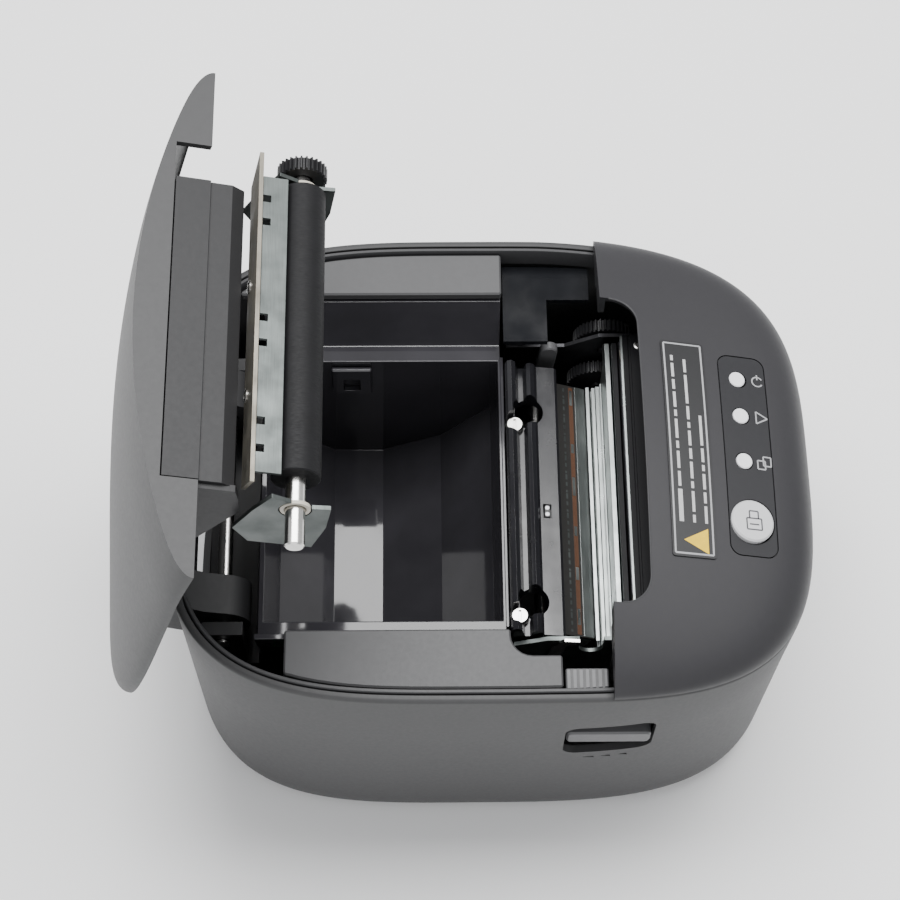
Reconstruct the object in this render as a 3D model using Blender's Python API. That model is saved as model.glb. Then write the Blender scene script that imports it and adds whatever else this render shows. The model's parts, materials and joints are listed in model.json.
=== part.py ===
"""Receipt printer with its cover open: a desktop printer for 80 mm paper rolls.

Lengths are in millimetres in the tables and helpers below, and each mesh is scaled to
metres as it is made.  X runs across the printer, -Y is the front with the control panel,
+Y is the back with the cover's hinge, and Z is up from the surface it stands on.
"""
import math

import bmesh
import bpy
from mathutils import Vector

MM = 0.001
SHIFT_Y = -2.4             # centres the open printer's length on the origin

# Outline of the casing at its rim: two half superellipses that share one width.
HALF_WIDTH = 72.5
FRONT_REACH = 97.4
BACK_REACH = 85.7
FRONT_POWER = 3.5
BACK_POWER = 3.4
OUTLINE_STEPS = 72

# Casing heights and walls
RIM = 103.0
RIM_DROP = 11.4            # how far the rim has fallen at the very front
DROP_START = -20.0
WALL = 2.2
TAPER = 2.2                # how far the walls lean in from rim to base
FOOT_ROUND = 14.0          # height of the rounded lower edge
BASE_Z = 2.6
SEAM = 0.9                 # shadow gap between the casing rim and the covers

# Cover split, arch and hinge
SPLIT_Y = -38.0
CROWN = 120.5
EDGE_STAND = 4.4           # height of the covers above the rim at their sides
BACK_FALL = 0.0009
FRONT_SLOPE = 0.27
COVER_WALL = 1.8
HINGE = (0.0, 70.0, 77.0)
OPEN_ANGLE = 75.0

# Paper path
PLATEN = (-34.3, 78.3)     # Y, Z of the platen roller with the cover closed
PLATEN_R = 6.2
PLATEN_X = (-42.0, 40.0)
SHAFT_R = 2.5
BUCKET_HALF = 41.5
BUCKET_WALL = 1.8

# Gears: one module throughout
MODULE = 0.44
PLATEN_TEETH = 28
IDLER_TEETH = 40
PINION_TEETH = 12
RESET_TEETH = 40
GEAR_X = (44.2, 47.8)
IDLER_TURN = math.radians(245.0)     # direction from the platen gear to the idler
PINION_TURN = math.radians(252.0)    # direction from the idler to the pinion
RESET_AXIS = (-42.0, 78.0)

LATCH_PIVOT = (-22.0, 56.0)

# Control panel, laid on the front cover
PANEL_X = (-32.5, 30.0)
PANEL_Y = (-85.0, -71.0)
LIGHT_X = (22.0, 10.0, -4.2)
LIGHT_Y = -76.8
LIGHT_R = 2.4
BUTTON_X = -22.3
BUTTON_Y = -78.0
BUTTON_R = 6.3
LABEL_X = (-34.4, 32.4)
LABEL_Y = (-67.0, -54.7)

# Cover release window in the -X wall
WINDOW_Y = (-52.0, -26.5)
WINDOW_Z = (57.0, 79.0)

CLEAR = 0.3


def clear_scene():
    for item in list(bpy.data.objects):
        bpy.data.objects.remove(item, do_unlink=True)


def material(name, colour, roughness, metallic=0.0):
    made = bpy.data.materials.new(name)
    made.use_nodes = True
    shader = made.node_tree.nodes["Principled BSDF"]
    shader.inputs["Base Color"].default_value = (*colour, 1.0)
    shader.inputs["Roughness"].default_value = roughness
    shader.inputs["Metallic"].default_value = metallic
    return made


# ---------------------------------------------------------------- building blocks

class Place:
    """Where a group of pieces is built: its origin in millimetres and its parent."""

    def __init__(self, origin=(0.0, 0.0, 0.0), parent=None):
        self.origin = Vector(origin)
        self.parent = parent


def add_object(name, bm, finish, place, smooth=30.0):
    """Scale a bmesh to metres, put its origin on the place's origin and link it."""
    bmesh.ops.recalc_face_normals(bm, faces=bm.faces)
    for vert in bm.verts:
        vert.co = (vert.co - place.origin) * MM
    mesh = bpy.data.meshes.new(name)
    bm.to_mesh(mesh)
    bm.free()
    if finish is not None:
        mesh.materials.append(finish)
    mesh.shade_smooth()
    mesh.set_sharp_from_angle(angle=math.radians(smooth))
    made = bpy.data.objects.new(name, mesh)
    bpy.context.scene.collection.objects.link(made)
    if place.parent is None:
        made.location = (place.origin + Vector((0.0, SHIFT_Y, 0.0))) * MM
    else:
        made.parent = place.parent
    return made


def to_point(axis, along, first, second):
    """A point from its place along an axis and its two coordinates across it."""
    if axis == "X":
        return Vector((along, first, second))
    if axis == "Y":
        return Vector((first, along, second))
    return Vector((first, second, along))


def prism_mesh(axis, outline, low, high):
    bm = bmesh.new()
    start = [bm.verts.new(to_point(axis, low, *point)) for point in outline]
    end = [bm.verts.new(to_point(axis, high, *point)) for point in outline]
    bm.faces.new(start)
    bm.faces.new(end)
    count = len(outline)
    for i in range(count):
        j = (i + 1) % count
        bm.faces.new((start[i], start[j], end[j], end[i]))
    return bm


def prism(name, axis, outline, low, high, finish, place, bevel=0.0):
    made = add_object(name, prism_mesh(axis, outline, low, high), finish, place)
    if bevel:
        add_bevel(made, bevel)
    return made


def box(name, x, y, z, finish, place, bevel=0.0):
    outline = [(x[0], y[0]), (x[1], y[0]), (x[1], y[1]), (x[0], y[1])]
    return prism(name, "Z", outline, z[0], z[1], finish, place, bevel)


def circle(centre, radius, steps=32, start=0.0, sweep=2 * math.pi):
    """Points round a circle, or along an arc when the sweep is less than a turn."""
    whole = abs(sweep) >= 2 * math.pi - 1e-6
    last = steps if whole else steps - 1
    points = []
    for i in range(steps):
        turn = start + sweep * i / last
        points.append((centre[0] + radius * math.cos(turn), centre[1] + radius * math.sin(turn)))
    return points


def rounded_rect(first, second, radius, steps=5):
    """A rectangle with rounded corners, from its low and high limits on two axes."""
    corners = (
        (first[1] - radius, second[1] - radius, 0.0),
        (first[0] + radius, second[1] - radius, 0.5 * math.pi),
        (first[0] + radius, second[0] + radius, math.pi),
        (first[1] - radius, second[0] + radius, 1.5 * math.pi),
    )
    points = []
    for x, y, start in corners:
        points.extend(circle((x, y), radius, steps, start, 0.5 * math.pi))
    return points


def disc(name, axis, centre, radius, low, high, finish, place, steps=32, bevel=0.0):
    return prism(name, axis, circle(centre, radius, steps), low, high, finish, place, bevel)


def stepped_shaft(name, axis, centre, steps, finish, place, sides=24):
    """A turned piece: steps is a list of (place along the axis, radius) pairs."""
    bm = bmesh.new()
    rings = []
    for along, radius in steps:
        rings.append([bm.verts.new(to_point(axis, along, *p)) for p in circle(centre, radius, sides)])
    for ring, following in zip(rings, rings[1:]):
        for i in range(sides):
            j = (i + 1) % sides
            bm.faces.new((ring[i], ring[j], following[j], following[i]))
    bm.faces.new(rings[0])
    bm.faces.new(rings[-1])
    return add_object(name, bm, finish, place)


def add_bevel(made, width, segments=1):
    bevel = made.modifiers.new("Edge", "BEVEL")
    bevel.width = width * MM
    bevel.segments = segments
    bevel.limit_method = "ANGLE"
    bevel.angle_limit = math.radians(40.0)
    bevel.use_clamp_overlap = True


def hide_tool(tool):
    tool.hide_render = True
    tool.display_type = "WIRE"


def combine(target, tool, operation):
    hide_tool(tool)
    change = target.modifiers.new(operation.title(), "BOOLEAN")
    change.operation = operation
    change.solver = "EXACT"
    change.object = tool


def cut(target, tool):
    combine(target, tool, "DIFFERENCE")


def join(target, tool):
    combine(target, tool, "UNION")


# ---------------------------------------------------------------- casing outline

def half_power(value, power):
    return math.copysign(abs(value) ** (2.0 / power), value)


def reach_and_power(y):
    return (FRONT_REACH, FRONT_POWER) if y < 0 else (BACK_REACH, BACK_POWER)


def dense_outline(steps=3600):
    points = []
    for i in range(steps):
        turn = 2 * math.pi * i / steps
        reach, power = reach_and_power(math.sin(turn))
        x = HALF_WIDTH * half_power(math.cos(turn), power)
        points.append((x, reach * half_power(math.sin(turn), power)))
    return points


def even_outline(count=OUTLINE_STEPS):
    """Outline points at even spacing, each with its outward direction."""
    dense = dense_outline()
    total = len(dense)
    lengths = [math.dist(dense[i], dense[(i + 1) % total]) for i in range(total)]
    step = sum(lengths) / count
    chosen = []
    walked = 0.0
    target = 0.0
    for i in range(total):
        if walked >= target and len(chosen) < count:
            chosen.append(i)
            target += step
        walked += lengths[i]
    result = []
    for i in chosen:
        before = Vector(dense[i - 3])
        after = Vector(dense[(i + 3) % total])
        along = (after - before).normalized()
        result.append((Vector(dense[i]), Vector((along.y, -along.x))))
    return result


OUTLINE = even_outline()


def inset_outline(distance):
    return [tuple(point - outward * distance) for point, outward in OUTLINE]


def side_x(y, inset=0.0):
    """Half width of the casing outline at a given Y, with the outline drawn in a little."""
    reach, power = reach_and_power(y)
    share = min(abs(y) / (reach - inset), 1.0)
    return (HALF_WIDTH - inset) * (1.0 - share ** power) ** (1.0 / power)


def rim_z(y):
    """Height of the casing rim, which falls towards the front."""
    if y >= DROP_START:
        return RIM
    share = min((DROP_START - y) / (FRONT_REACH + DROP_START), 1.0)
    return RIM - RIM_DROP * share ** 1.5


def lean(z):
    """How far the wall stands in from the rim outline at a height."""
    amount = TAPER * (RIM - z) / RIM
    if z < FOOT_ROUND:
        depth = (FOOT_ROUND - z) / FOOT_ROUND
        amount += 4.0 * (1.0 - math.sqrt(max(1.0 - depth * depth, 0.0)))
    return amount


def ring_sweep(name, profile, finish, place):
    """A closed ring round the casing.  profile is a loop of (inset, height, at rim) points."""
    bm = bmesh.new()
    columns = []
    for point, outward in OUTLINE:
        column = []
        for inset, height, at_rim in profile:
            z = rim_z(point.y) + height if at_rim else height
            place_xy = point - outward * inset
            column.append(bm.verts.new((place_xy.x, place_xy.y, z)))
        columns.append(column)
    count = len(profile)
    for i, column in enumerate(columns):
        following = columns[(i + 1) % len(columns)]
        for k in range(count):
            m = (k + 1) % count
            bm.faces.new((column[k], column[m], following[m], following[k]))
    return add_object(name, bm, finish, place)


# ---------------------------------------------------------------- domed covers

def edge_rise(share):
    """Share of the full height at a place between the middle, 0, and the outline, 1."""
    return (1.0 - min(share, 1.0) ** 24) ** 0.45


def dome_z(x, y, inset, drop):
    """Height of a cover's surface.  inset and drop move it inwards for the inner skin."""
    reach, power = reach_and_power(y)
    share_x = abs(x) / (HALF_WIDTH - inset)
    share_y = abs(y) / (reach - inset)
    share = (share_x ** power + share_y ** power) ** (1.0 / power)
    if y < SPLIT_Y:
        middle = CROWN - FRONT_SLOPE * (SPLIT_Y - y)
    else:
        middle = CROWN - BACK_FALL * (y - SPLIT_Y) ** 2
    side = rim_z(y) + EDGE_STAND
    crest = middle - (middle - side) * (x / HALF_WIDTH) ** 2 - drop
    foot = rim_z(y) + SEAM
    return foot + (crest - foot) * edge_rise(share)


def dome_grid(bm, rows, across, inset, drop, wall_first):
    """Points of one skin, in rows of constant Y.  wall_first adds the foot of a flat wall."""
    grid = []
    if wall_first:
        y = rows[0]
        half = side_x(y, inset)
        grid.append([bm.verts.new((half * u, y, rim_z(y) + SEAM)) for u in across])
    for y in rows:
        half = side_x(y, inset)
        grid.append([bm.verts.new((half * u, y, dome_z(half * u, y, inset, drop))) for u in across])
    return grid


def dome_shell(name, start, end, wall, finish, place, rows=22, columns=25, front_wall=True):
    """A cover with a wall along its straight edge, open underneath.

    start is the Y of the straight edge and end the Y of the rounded tip."""
    across = [math.sin(0.5 * math.pi * (2.0 * i / (columns - 1) - 1.0)) for i in range(columns)]
    shares = [math.sin(0.5 * math.pi * i / (rows - 1)) for i in range(rows)]
    sign = 1.0 if end > start else -1.0
    tip = 0.15
    outer_rows = [start + (end - sign * tip - start) * s for s in shares]
    inner_rows = [start + sign * wall + (end - sign * (wall + tip) - start - sign * wall) * s for s in shares]
    bm = bmesh.new()
    outer = dome_grid(bm, outer_rows, across, 0.0, 0.0, front_wall)
    inner = dome_grid(bm, inner_rows, across, wall, wall, front_wall)
    for grid in (outer, inner):
        for row, following in zip(grid, grid[1:]):
            for i in range(columns - 1):
                bm.faces.new((row[i], row[i + 1], following[i + 1], following[i]))
    border_outer = border(outer)
    border_inner = border(inner)
    count = len(border_outer)
    for i in range(count):
        j = (i + 1) % count
        bm.faces.new((border_outer[i], border_outer[j], border_inner[j], border_inner[i]))
    bmesh.ops.remove_doubles(bm, verts=bm.verts, dist=0.001)
    return add_object(name, bm, finish, place, smooth=35.0)


def border(grid):
    """The outer loop of a grid of points."""
    loop = list(grid[0])
    loop.extend(row[-1] for row in grid[1:])
    loop.extend(reversed(grid[-1][:-1]))
    loop.extend(row[0] for row in reversed(grid[1:-1]))
    return loop


# ---------------------------------------------------------------- gears and springs

def gear_outline(centre, teeth, phase, module=MODULE):
    """Trapezoid teeth, with one tooth's middle at the phase angle."""
    pitch = 0.5 * module * teeth
    tip = pitch + 0.85 * module
    root = pitch - 1.1 * module
    step = 2 * math.pi / teeth
    shape = ((-0.30, root), (-0.13, tip), (0.13, tip), (0.30, root))
    points = []
    for i in range(teeth):
        for offset, radius in shape:
            turn = phase + step * (i + offset)
            points.append((centre[0] + radius * math.cos(turn), centre[1] + radius * math.sin(turn)))
    return points


def mate_phase(own_teeth, direction, other_teeth, other_phase):
    """Phase that puts a gap of this gear on the other gear's tooth.

    direction is the angle from this gear's centre to the other's."""
    other_step = 2 * math.pi / other_teeth
    facing = direction + math.pi
    ahead = (facing - other_phase) / other_step
    offset = ahead - math.floor(ahead)
    own_step = 2 * math.pi / own_teeth
    return direction + own_step * (0.5 + offset)


def polar(centre, angle, distance):
    return (centre[0] + distance * math.cos(angle), centre[1] + distance * math.sin(angle))


# ---------------------------------------------------------------- casing pieces

def lower_housing(finish, place):
    outer = [(lean(z), z, False) for z in (BASE_Z, 4.5, 8.0, FOOT_ROUND, 40.0, 70.0)]
    rim = [(0.0, -1.3, True), (0.35, -0.4, True), (1.2, 0.0, True), (WALL, 0.0, True)]
    inner = [(WALL + lean(z), z, False) for z in (70.0, FOOT_ROUND, 4.5, BASE_Z)]
    housing = ring_sweep("lower_housing", outer + rim + inner, finish, place)
    window = rounded_rect(WINDOW_Y, WINDOW_Z, 4.0)
    cut(housing, prism("window_tool", "X", window, -80.0, -62.0, None, place))
    sockets = rounded_rect((-40.0, 40.0), (9.0, 38.0), 3.0)
    cut(housing, prism("socket_tool", "Y", sockets, 70.0, 95.0, None, place))
    for side in (-1, 1):
        x = sorted((side * 26.3, side * 39.7))
        cut(housing, box("arm_slot_tool", x, (74.0, 95.0), (66.0, 112.0), None, place))


def inner_rim(finish, place):
    profile = [(2.6, -7.0, True), (2.6, -0.3, True), (3.0, 0.1, True), (3.7, 0.1, True), (3.9, -7.0, True)]
    rim = ring_sweep("inner_rim", profile, finish, place)
    cut(rim, box("rim_gap_tool", (-40.0, 40.0), (72.0, 95.0), (80.0, 112.0), None, place))


def bottom_plate(finish, place):
    plate = prism("bottom_plate", "Z", inset_outline(6.8), 2.4, 4.8, finish, place)
    add_bevel(plate, 0.4, 1)


def feet(finish, place):
    corners = (("left", -52.0), ("right", 52.0))
    for end, y in (("front", -62.0), ("back", 50.0)):
        for side, x in corners:
            disc(f"foot_{end}_{side}", "Z", (x, y), 8.0, 0.0, 2.1, finish, place, 24, 0.5)


def outline_side(side, low_y, high_y, inset, steps=18):
    """Points along one side of the casing, from its front to its back."""
    points = []
    for i in range(steps):
        y = low_y + (high_y - low_y) * i / (steps - 1)
        points.append((side * side_x(y, inset), y))
    return points


def ledges(finish, place):
    """The flat ledges beside the roll bucket, on which the cover's edges come down."""
    corner = circle((-52.6, -16.6), 6.0, 7, 0.5 * math.pi, 0.5 * math.pi)
    near = outline_side(-1, -24.5, 51.0, 4.5) + [(-50.9, 51.0), (-50.9, -10.6)] + corner
    near.append((-58.6, -24.5))
    add_bevel(prism("ledge_left", "Z", near, 99.0, 102.2, finish, place), 0.5)
    far = outline_side(1, -10.4, 66.0, 4.5) + [(54.5, 66.0), (54.5, -10.4)]
    add_bevel(prism("ledge_right", "Z", far, 99.0, 102.2, finish, place), 0.5)


def right_deck(finish, place):
    """Lower glossy deck beside the mechanism, with a window over the reset gear."""
    deck = outline_side(1, -36.6, -11.0, 4.5, 8) + [(42.6, -11.0), (42.6, -36.6)]
    made = prism("gear_deck", "Z", deck, 93.0, 95.0, finish, place)
    cut(made, box("gear_window_tool", (40.0, 56.6), (-40.0, -24.0), (90.0, 99.0), None, place))


def guide_block(finish, place):
    outline = outline_side(-1, -37.0, -25.4, 4.6, 6) + [(-61.5, -25.4), (-61.5, -37.0)]
    add_bevel(prism("guide_block", "Z", outline, 94.0, 99.6, finish, place), 0.4)


def roll_bucket(finish, place):
    outer = [(-11.2, 84.2), (-11.2, 61.5), (-9.8, 53.9), (5.9, 34.4), (24.6, 24.2), (41.2, 24.2),
             (58.2, 38.8), (59.9, 60.0), (59.9, 84.2)]
    inner = [(-9.6, 88.0), (-9.6, 62.0), (-8.1, 55.0), (7.0, 36.0), (25.3, 26.0), (40.5, 26.0),
             (56.5, 39.8), (58.1, 60.0), (58.1, 88.0)]
    half = BUCKET_HALF + BUCKET_WALL
    bucket = prism("roll_bucket", "X", outer, -half, half, finish, place)
    funnel = [(-48.4, 83.1), (48.4, 83.1), (55.7, 98.6), (-52.2, 98.6)]
    join(bucket, prism("funnel_tool", "Y", funnel, -10.2, 59.5, None, place))
    space = [(-47.0, 84.7), (47.0, 84.7), (54.7, 100.0), (-50.96, 100.0)]
    cut(bucket, prism("funnel_space_tool", "Y", space, -14.0, 64.0, None, place))
    cut(bucket, prism("roll_space_tool", "X", inner, -BUCKET_HALF, BUCKET_HALF, None, place))


def near_end_sensor(finish, place):
    holder = [(28.0, 68.0), (40.0, 68.0), (40.0, 82.4), (28.0, 82.4)]
    made = prism("near_end_sensor", "X", holder, 39.6, 41.2, finish, place, 0.4)
    window = rounded_rect((31.5, 36.5), (70.0, 77.0), 0.8, 3)
    cut(made, prism("sensor_window_tool", "X", window, 39.0, 42.0, None, place))


def hinge_tray(finish, place):
    tray = box("hinge_tray", (-44.3, 44.3), (60.6, 75.8), (58.0, 60.0), finish, place)
    for side in (-1, 1):
        post = sorted((side * 40.3, side * 44.3))
        join(tray, box("hinge_post_tool", post, (64.0, 75.6), (59.0, 82.0), None, place))
    bore = circle(HINGE[1:], 2.45, 24)
    cut(tray, prism("hinge_bore_tool", "X", bore, -60.0, 60.0, None, place))


def hinge_pin(finish, place):
    disc("hinge_pin", "X", HINGE[1:], 2.15, -45.2, 45.2, finish, place, 24)


def release_window(finish, place):
    """Scooped recess behind the release lever."""
    scoop = [(-67.0, 80.5), (-61.6, 80.5), (-61.6, 55.5), (-63.2, 55.5), (-63.2, 70.6), (-67.0, 78.4)]
    prism("lever_scoop", "Y", scoop, -53.0, -25.5, finish, place)


def release_lever(finish, place):
    outline = rounded_rect((-51.2, -27.3), (62.4, 69.8), 1.6, 4)
    add_bevel(prism("open_lever", "X", outline, -70.0, -63.8, finish, place), 0.6)


# ---------------------------------------------------------------- sockets and boards

def rear_sockets(m, place):
    back = (74.4, 76.4)
    panel = box("rear_panel", (-41.0, 41.0), back, (7.6, 39.4), m["black"], place)
    sockets = (
        ("power_jack", (-36.0, -24.0), (12.0, 24.0)),
        ("drawer_port", (-18.0, -3.0), (12.0, 25.0)),
        ("usb_port", (4.0, 16.4), (12.0, 23.2)),
    )
    for name, x, z in sockets:
        hole = rounded_rect((x[0] - CLEAR, x[1] + CLEAR), (z[0] - CLEAR, z[1] + CLEAR), 0.5, 2)
        cut(panel, prism(f"{name}_hole_tool", "Y", hole, 70.0, 80.0, None, place))
        body = box(name, x, (62.0, 77.4), z, m["socket"], place)
        middle = (0.5 * (x[0] + x[1]), 0.5 * (z[0] + z[1]))
        if name == "power_jack":
            mouth = circle(middle, 4.2, 24)
        else:
            mouth = rounded_rect((x[0] + 1.6, x[1] - 1.6), (z[0] + 1.8, z[1] - 1.8), 0.8, 3)
        cut(body, prism(f"{name}_mouth_tool", "Y", mouth, 67.0, 80.0, None, place))
    opening = rounded_rect((22.6, 37.4), (11.4, 32.6), 0.5, 2)
    cut(panel, prism("switch_hole_tool", "Y", opening, 70.0, 80.0, None, place))


def power_switch(m, rocker):
    """Rocker switch, tipped towards off."""
    shape = [(71.0, 16.6), (71.0, 27.4), (77.9, 30.0), (76.9, 22.0), (79.4, 14.0)]
    prism("power_switch", "X", shape, 24.9, 35.1, m["switch"], rocker, 0.3)


def main_board(m, place):
    box("main_board", (-44.0, 44.0), (4.0, 60.0), (9.0, 10.6), m["board"], place)


# ---------------------------------------------------------------- print mechanism

def guide_frame(finish, place):
    """Black moulding between bucket and print line: two rounded ribs and a flat."""
    top = [(-11.6, 85.6), (-12.2, 87.6), (-13.4, 88.2), (-14.6, 87.0), (-15.6, 82.6), (-17.0, 82.6),
           (-17.9, 85.6), (-19.0, 86.3), (-20.2, 85.4), (-21.0, 83.6), (-26.4, 82.6), (-27.1, 81.8)]
    under = [(-27.1, 79.6), (-14.6, 79.6), (-14.6, 46.0), (-11.6, 46.0)]
    frame = prism("guide_frame", "X", top + under, -45.4, 40.2, finish, place)
    for x in (25.0, -35.5):
        cut(frame, disc("access_tool", "Z", (x, -18.2), 4.5, 78.0, 92.0, None, place, 28))
    for x in (20.6, -39.9):
        cut(frame, disc("screw_seat_tool", "Z", (x, -14.2), 3.1, 82.0, 92.0, None, place, 20))
    cut(frame, box("eye_tool", (-9.2, -4.8), (-24.2, -21.8), (81.0, 86.0), None, place))


def mechanism_trim(m, place):
    for side, x in (("left", -39.9), ("right", 20.6)):
        seat = disc(f"frame_screw_{side}", "Z", (x, -14.2), 2.7, 82.4, 84.8, m["chrome"], place, 20, 0.5)
        cross = box(f"{side}_drive_tool", (x - 1.5, x + 1.5), (-14.55, -13.85), (84.1, 86.0), None, place)
        cut(seat, cross)
    box("paper_sensor", (-8.9, -5.1), (-23.9, -22.1), (81.4, 83.3), m["socket"], place, 0.2)


def head_frame(m, place):
    """The heated strip and its heat sink, tilted so that they lie along the platen."""
    tilt = math.radians(24.0)
    along = Vector((math.cos(tilt), math.sin(tilt)))
    away = Vector((along.y, -along.x))
    touch = Vector(PLATEN) + away * (PLATEN_R + CLEAR)

    def slab(start, end, low, high):
        corners = ((start, low), (end, low), (end, high), (start, high))
        return [tuple(touch + along * a + away * b) for a, b in corners]

    prism("print_head", "X", slab(-4.8, 5.0, 0.0, 1.2), -41.6, 39.6, m["ceramic"], place)
    sink = prism("heat_sink", "X", slab(-4.8, 5.0, 1.5, 6.0), -41.6, 39.6, m["aluminium"], place)
    groove = slab(-1.6, 1.8, 3.6, 7.0)
    cut(sink, prism("sink_groove_tool", "X", groove, -50.0, 50.0, None, place))


def sheet_parts(m, place):
    front = [(-50.0, 58.0), (42.8, 58.0), (42.8, 80.2), (48.4, 80.2), (48.4, 82.0), (45.6, 88.0),
             (-50.0, 88.0)]
    prism("front_plate", "Y", front, -42.7, -41.3, m["steel"], place)
    guide = [(-40.9, 60.0), (-36.9, 60.0), (-36.9, 69.0), (-37.7, 69.4), (-38.3, 67.4), (-39.0, 67.4),
             (-39.6, 70.6), (-40.9, 70.6)]
    prism("paper_guide", "X", guide, -43.6, 40.4, m["steel"], place)
    notch = circle(PLATEN, 3.4, 9, 0.0, -math.pi)
    left = [(-12.4, 30.0), (-12.4, 80.0), (-22.0, 84.0), (-30.9, 84.0)] + notch
    left += [(-37.7, 84.0), (-40.8, 84.0), (-40.8, 30.0)]
    frame = prism("side_frame_left", "X", left, -47.3, -46.1, m["steel"], place)
    cut(frame, disc("rod_bore_tool", "X", LATCH_PIVOT, 2.4, -49.0, -44.0, None, place, 20))
    right = [(-12.4, 30.0), (-12.4, 80.0), (-30.0, 80.0), (-40.0, 86.0), (-50.0, 86.0), (-50.0, 30.0)]
    frame = prism("side_frame_right", "X", right, 49.0, 50.2, m["steel"], place)
    cut(frame, disc("reset_bore_tool", "X", RESET_AXIS, 2.0, 46.0, 54.0, None, place, 20))
    cut(frame, disc("pinion_bore_tool", "X", PINION, 3.4, 46.0, 54.0, None, place, 20))
    cut(frame, disc("idler_bore_tool", "X", IDLER, 1.9, 46.0, 54.0, None, place, 20))


IDLER = polar(PLATEN, IDLER_TURN, 0.5 * MODULE * (PLATEN_TEETH + IDLER_TEETH) + 0.12)
PINION = polar(IDLER, PINION_TURN, 0.5 * MODULE * (IDLER_TEETH + PINION_TEETH) + 0.12)
PINION_PHASE = 0.0
IDLER_PHASE = mate_phase(IDLER_TEETH, PINION_TURN, PINION_TEETH, PINION_PHASE)
PLATEN_PHASE = mate_phase(PLATEN_TEETH, IDLER_TURN, IDLER_TEETH, IDLER_PHASE)


def drive_train(m, place, pinion_place, idler_place):
    disc("feed_motor", "X", PINION, 13.0, 50.6, 64.0, m["steel"], place, 36, 0.8)
    pinion = prism("feed_pinion", "X", gear_outline(PINION, PINION_TEETH, PINION_PHASE), *GEAR_X,
                   m["gear"], pinion_place)
    join(pinion, disc("pinion_shaft_tool", "X", PINION, 1.4, 43.6, 50.3, None, pinion_place, 16))
    idler = prism("feed_idler", "X", gear_outline(IDLER, IDLER_TEETH, IDLER_PHASE), *GEAR_X,
                  m["gear"], idler_place)
    join(idler, disc("idler_shaft_tool", "X", IDLER, 1.5, 43.4, 50.4, None, idler_place, 16))


def reset_gear(m, place):
    gear = prism("reset_gear", "X", gear_outline(RESET_AXIS, RESET_TEETH, 0.0), 51.0, 54.6, m["gear"], place)
    join(gear, disc("reset_shaft_tool", "X", RESET_AXIS, 1.6, 48.3, 56.4, None, place, 20))
    dish = circle(RESET_AXIS, 6.4, 28)
    cut(gear, tube_tool("reset_dish_tool", "X", dish, circle(RESET_AXIS, 3.0, 28), 54.0, 57.0, place))


def tube_tool(name, axis, outer, inner, low, high, place, finish=None):
    """A tube between two outlines that have the same number of points."""
    bm = bmesh.new()
    loops = []
    for outline, along in ((outer, low), (outer, high), (inner, high), (inner, low)):
        loops.append([bm.verts.new(to_point(axis, along, *point)) for point in outline])
    count = len(outer)
    for k in range(4):
        ring = loops[k]
        following = loops[(k + 1) % 4]
        for i in range(count):
            j = (i + 1) % count
            bm.faces.new((ring[i], ring[j], following[j], following[i]))
    return add_object(name, bm, finish, place)


def tube(name, axis, centre, outer, inner, low, high, finish, place, steps=32):
    return tube_tool(name, axis, circle(centre, outer, steps), circle(centre, inner, steps),
                     low, high, place, finish)


def cutter(m, place, blade_place):
    frame = box("cutter_frame", (-45.0, 45.0), (-82.0, -45.0), (83.0, 91.0), m["steel"], place, 0.5)
    hollow = box("cutter_hollow_tool", (-42.0, 42.0), (-79.0, -48.0), (85.0, 95.0), None, place)
    cut(frame, hollow)
    edge = [(-41.0, -70.0), (41.0, -70.0), (41.0, -45.2), (0.0, -47.8), (-41.0, -45.2)]
    prism("moving_blade", "Z", edge, 91.4, 92.4, m["blade"], blade_place)
    box("cutter_cover", (-45.0, 45.0), (-60.0, -45.4), (92.8, 94.0), m["steel"], place)


def latch(m, place):
    """Rod across the mechanism with a hook at its left end and an arm at its right end."""
    rod = disc("latch_rod", "X", LATCH_PIVOT, 2.0, -49.4, 47.8, m["chrome"], place, 20)
    hook = [(-24.6, 56.0), (-22.8, 53.4), (-20.0, 53.8), (-19.4, 56.0), (-21.2, 70.0), (-23.0, 82.0),
            (-26.4, 86.6), (-30.8, 86.0), (-31.0, 84.8), (-27.0, 82.6), (-25.2, 70.0)]
    join(rod, prism("latch_hook_tool", "X", hook, -48.7, -47.8, None, place))
    tip = circle((-25.0, 84.0), 2.6, 9, 0.0, math.pi)
    arm = [(-19.0, 56.0)] + tip + [(-25.6, 56.0), (-22.3, 52.6)]
    lever = prism("latch_lever", "X", arm, 44.6, 47.4, m["grey"], place, 0.4)
    cut(lever, disc("latch_bore_tool", "X", LATCH_PIVOT, 2.3, 40.0, 55.0, None, place, 20))


# ---------------------------------------------------------------- front cover and panel

def strip_solid(name, stations, low, high, finish, place):
    """A thin plate that follows the front cover; stations are (x, front y, back y)."""
    bm = bmesh.new()
    rings = []
    for x, front, back in stations:
        z_front = dome_z(x, front, 0.0, 0.0)
        z_back = dome_z(x, back, 0.0, 0.0)
        ring = ((front, z_front + low), (back, z_back + low), (back, z_back + high), (front, z_front + high))
        rings.append([bm.verts.new((x, y, z)) for y, z in ring])
    for ring, following in zip(rings, rings[1:]):
        for k in range(4):
            n = (k + 1) % 4
            bm.faces.new((ring[k], ring[n], following[n], following[k]))
    bm.faces.new(rings[0])
    bm.faces.new(rings[-1])
    return add_object(name, bm, finish, place)


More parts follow.
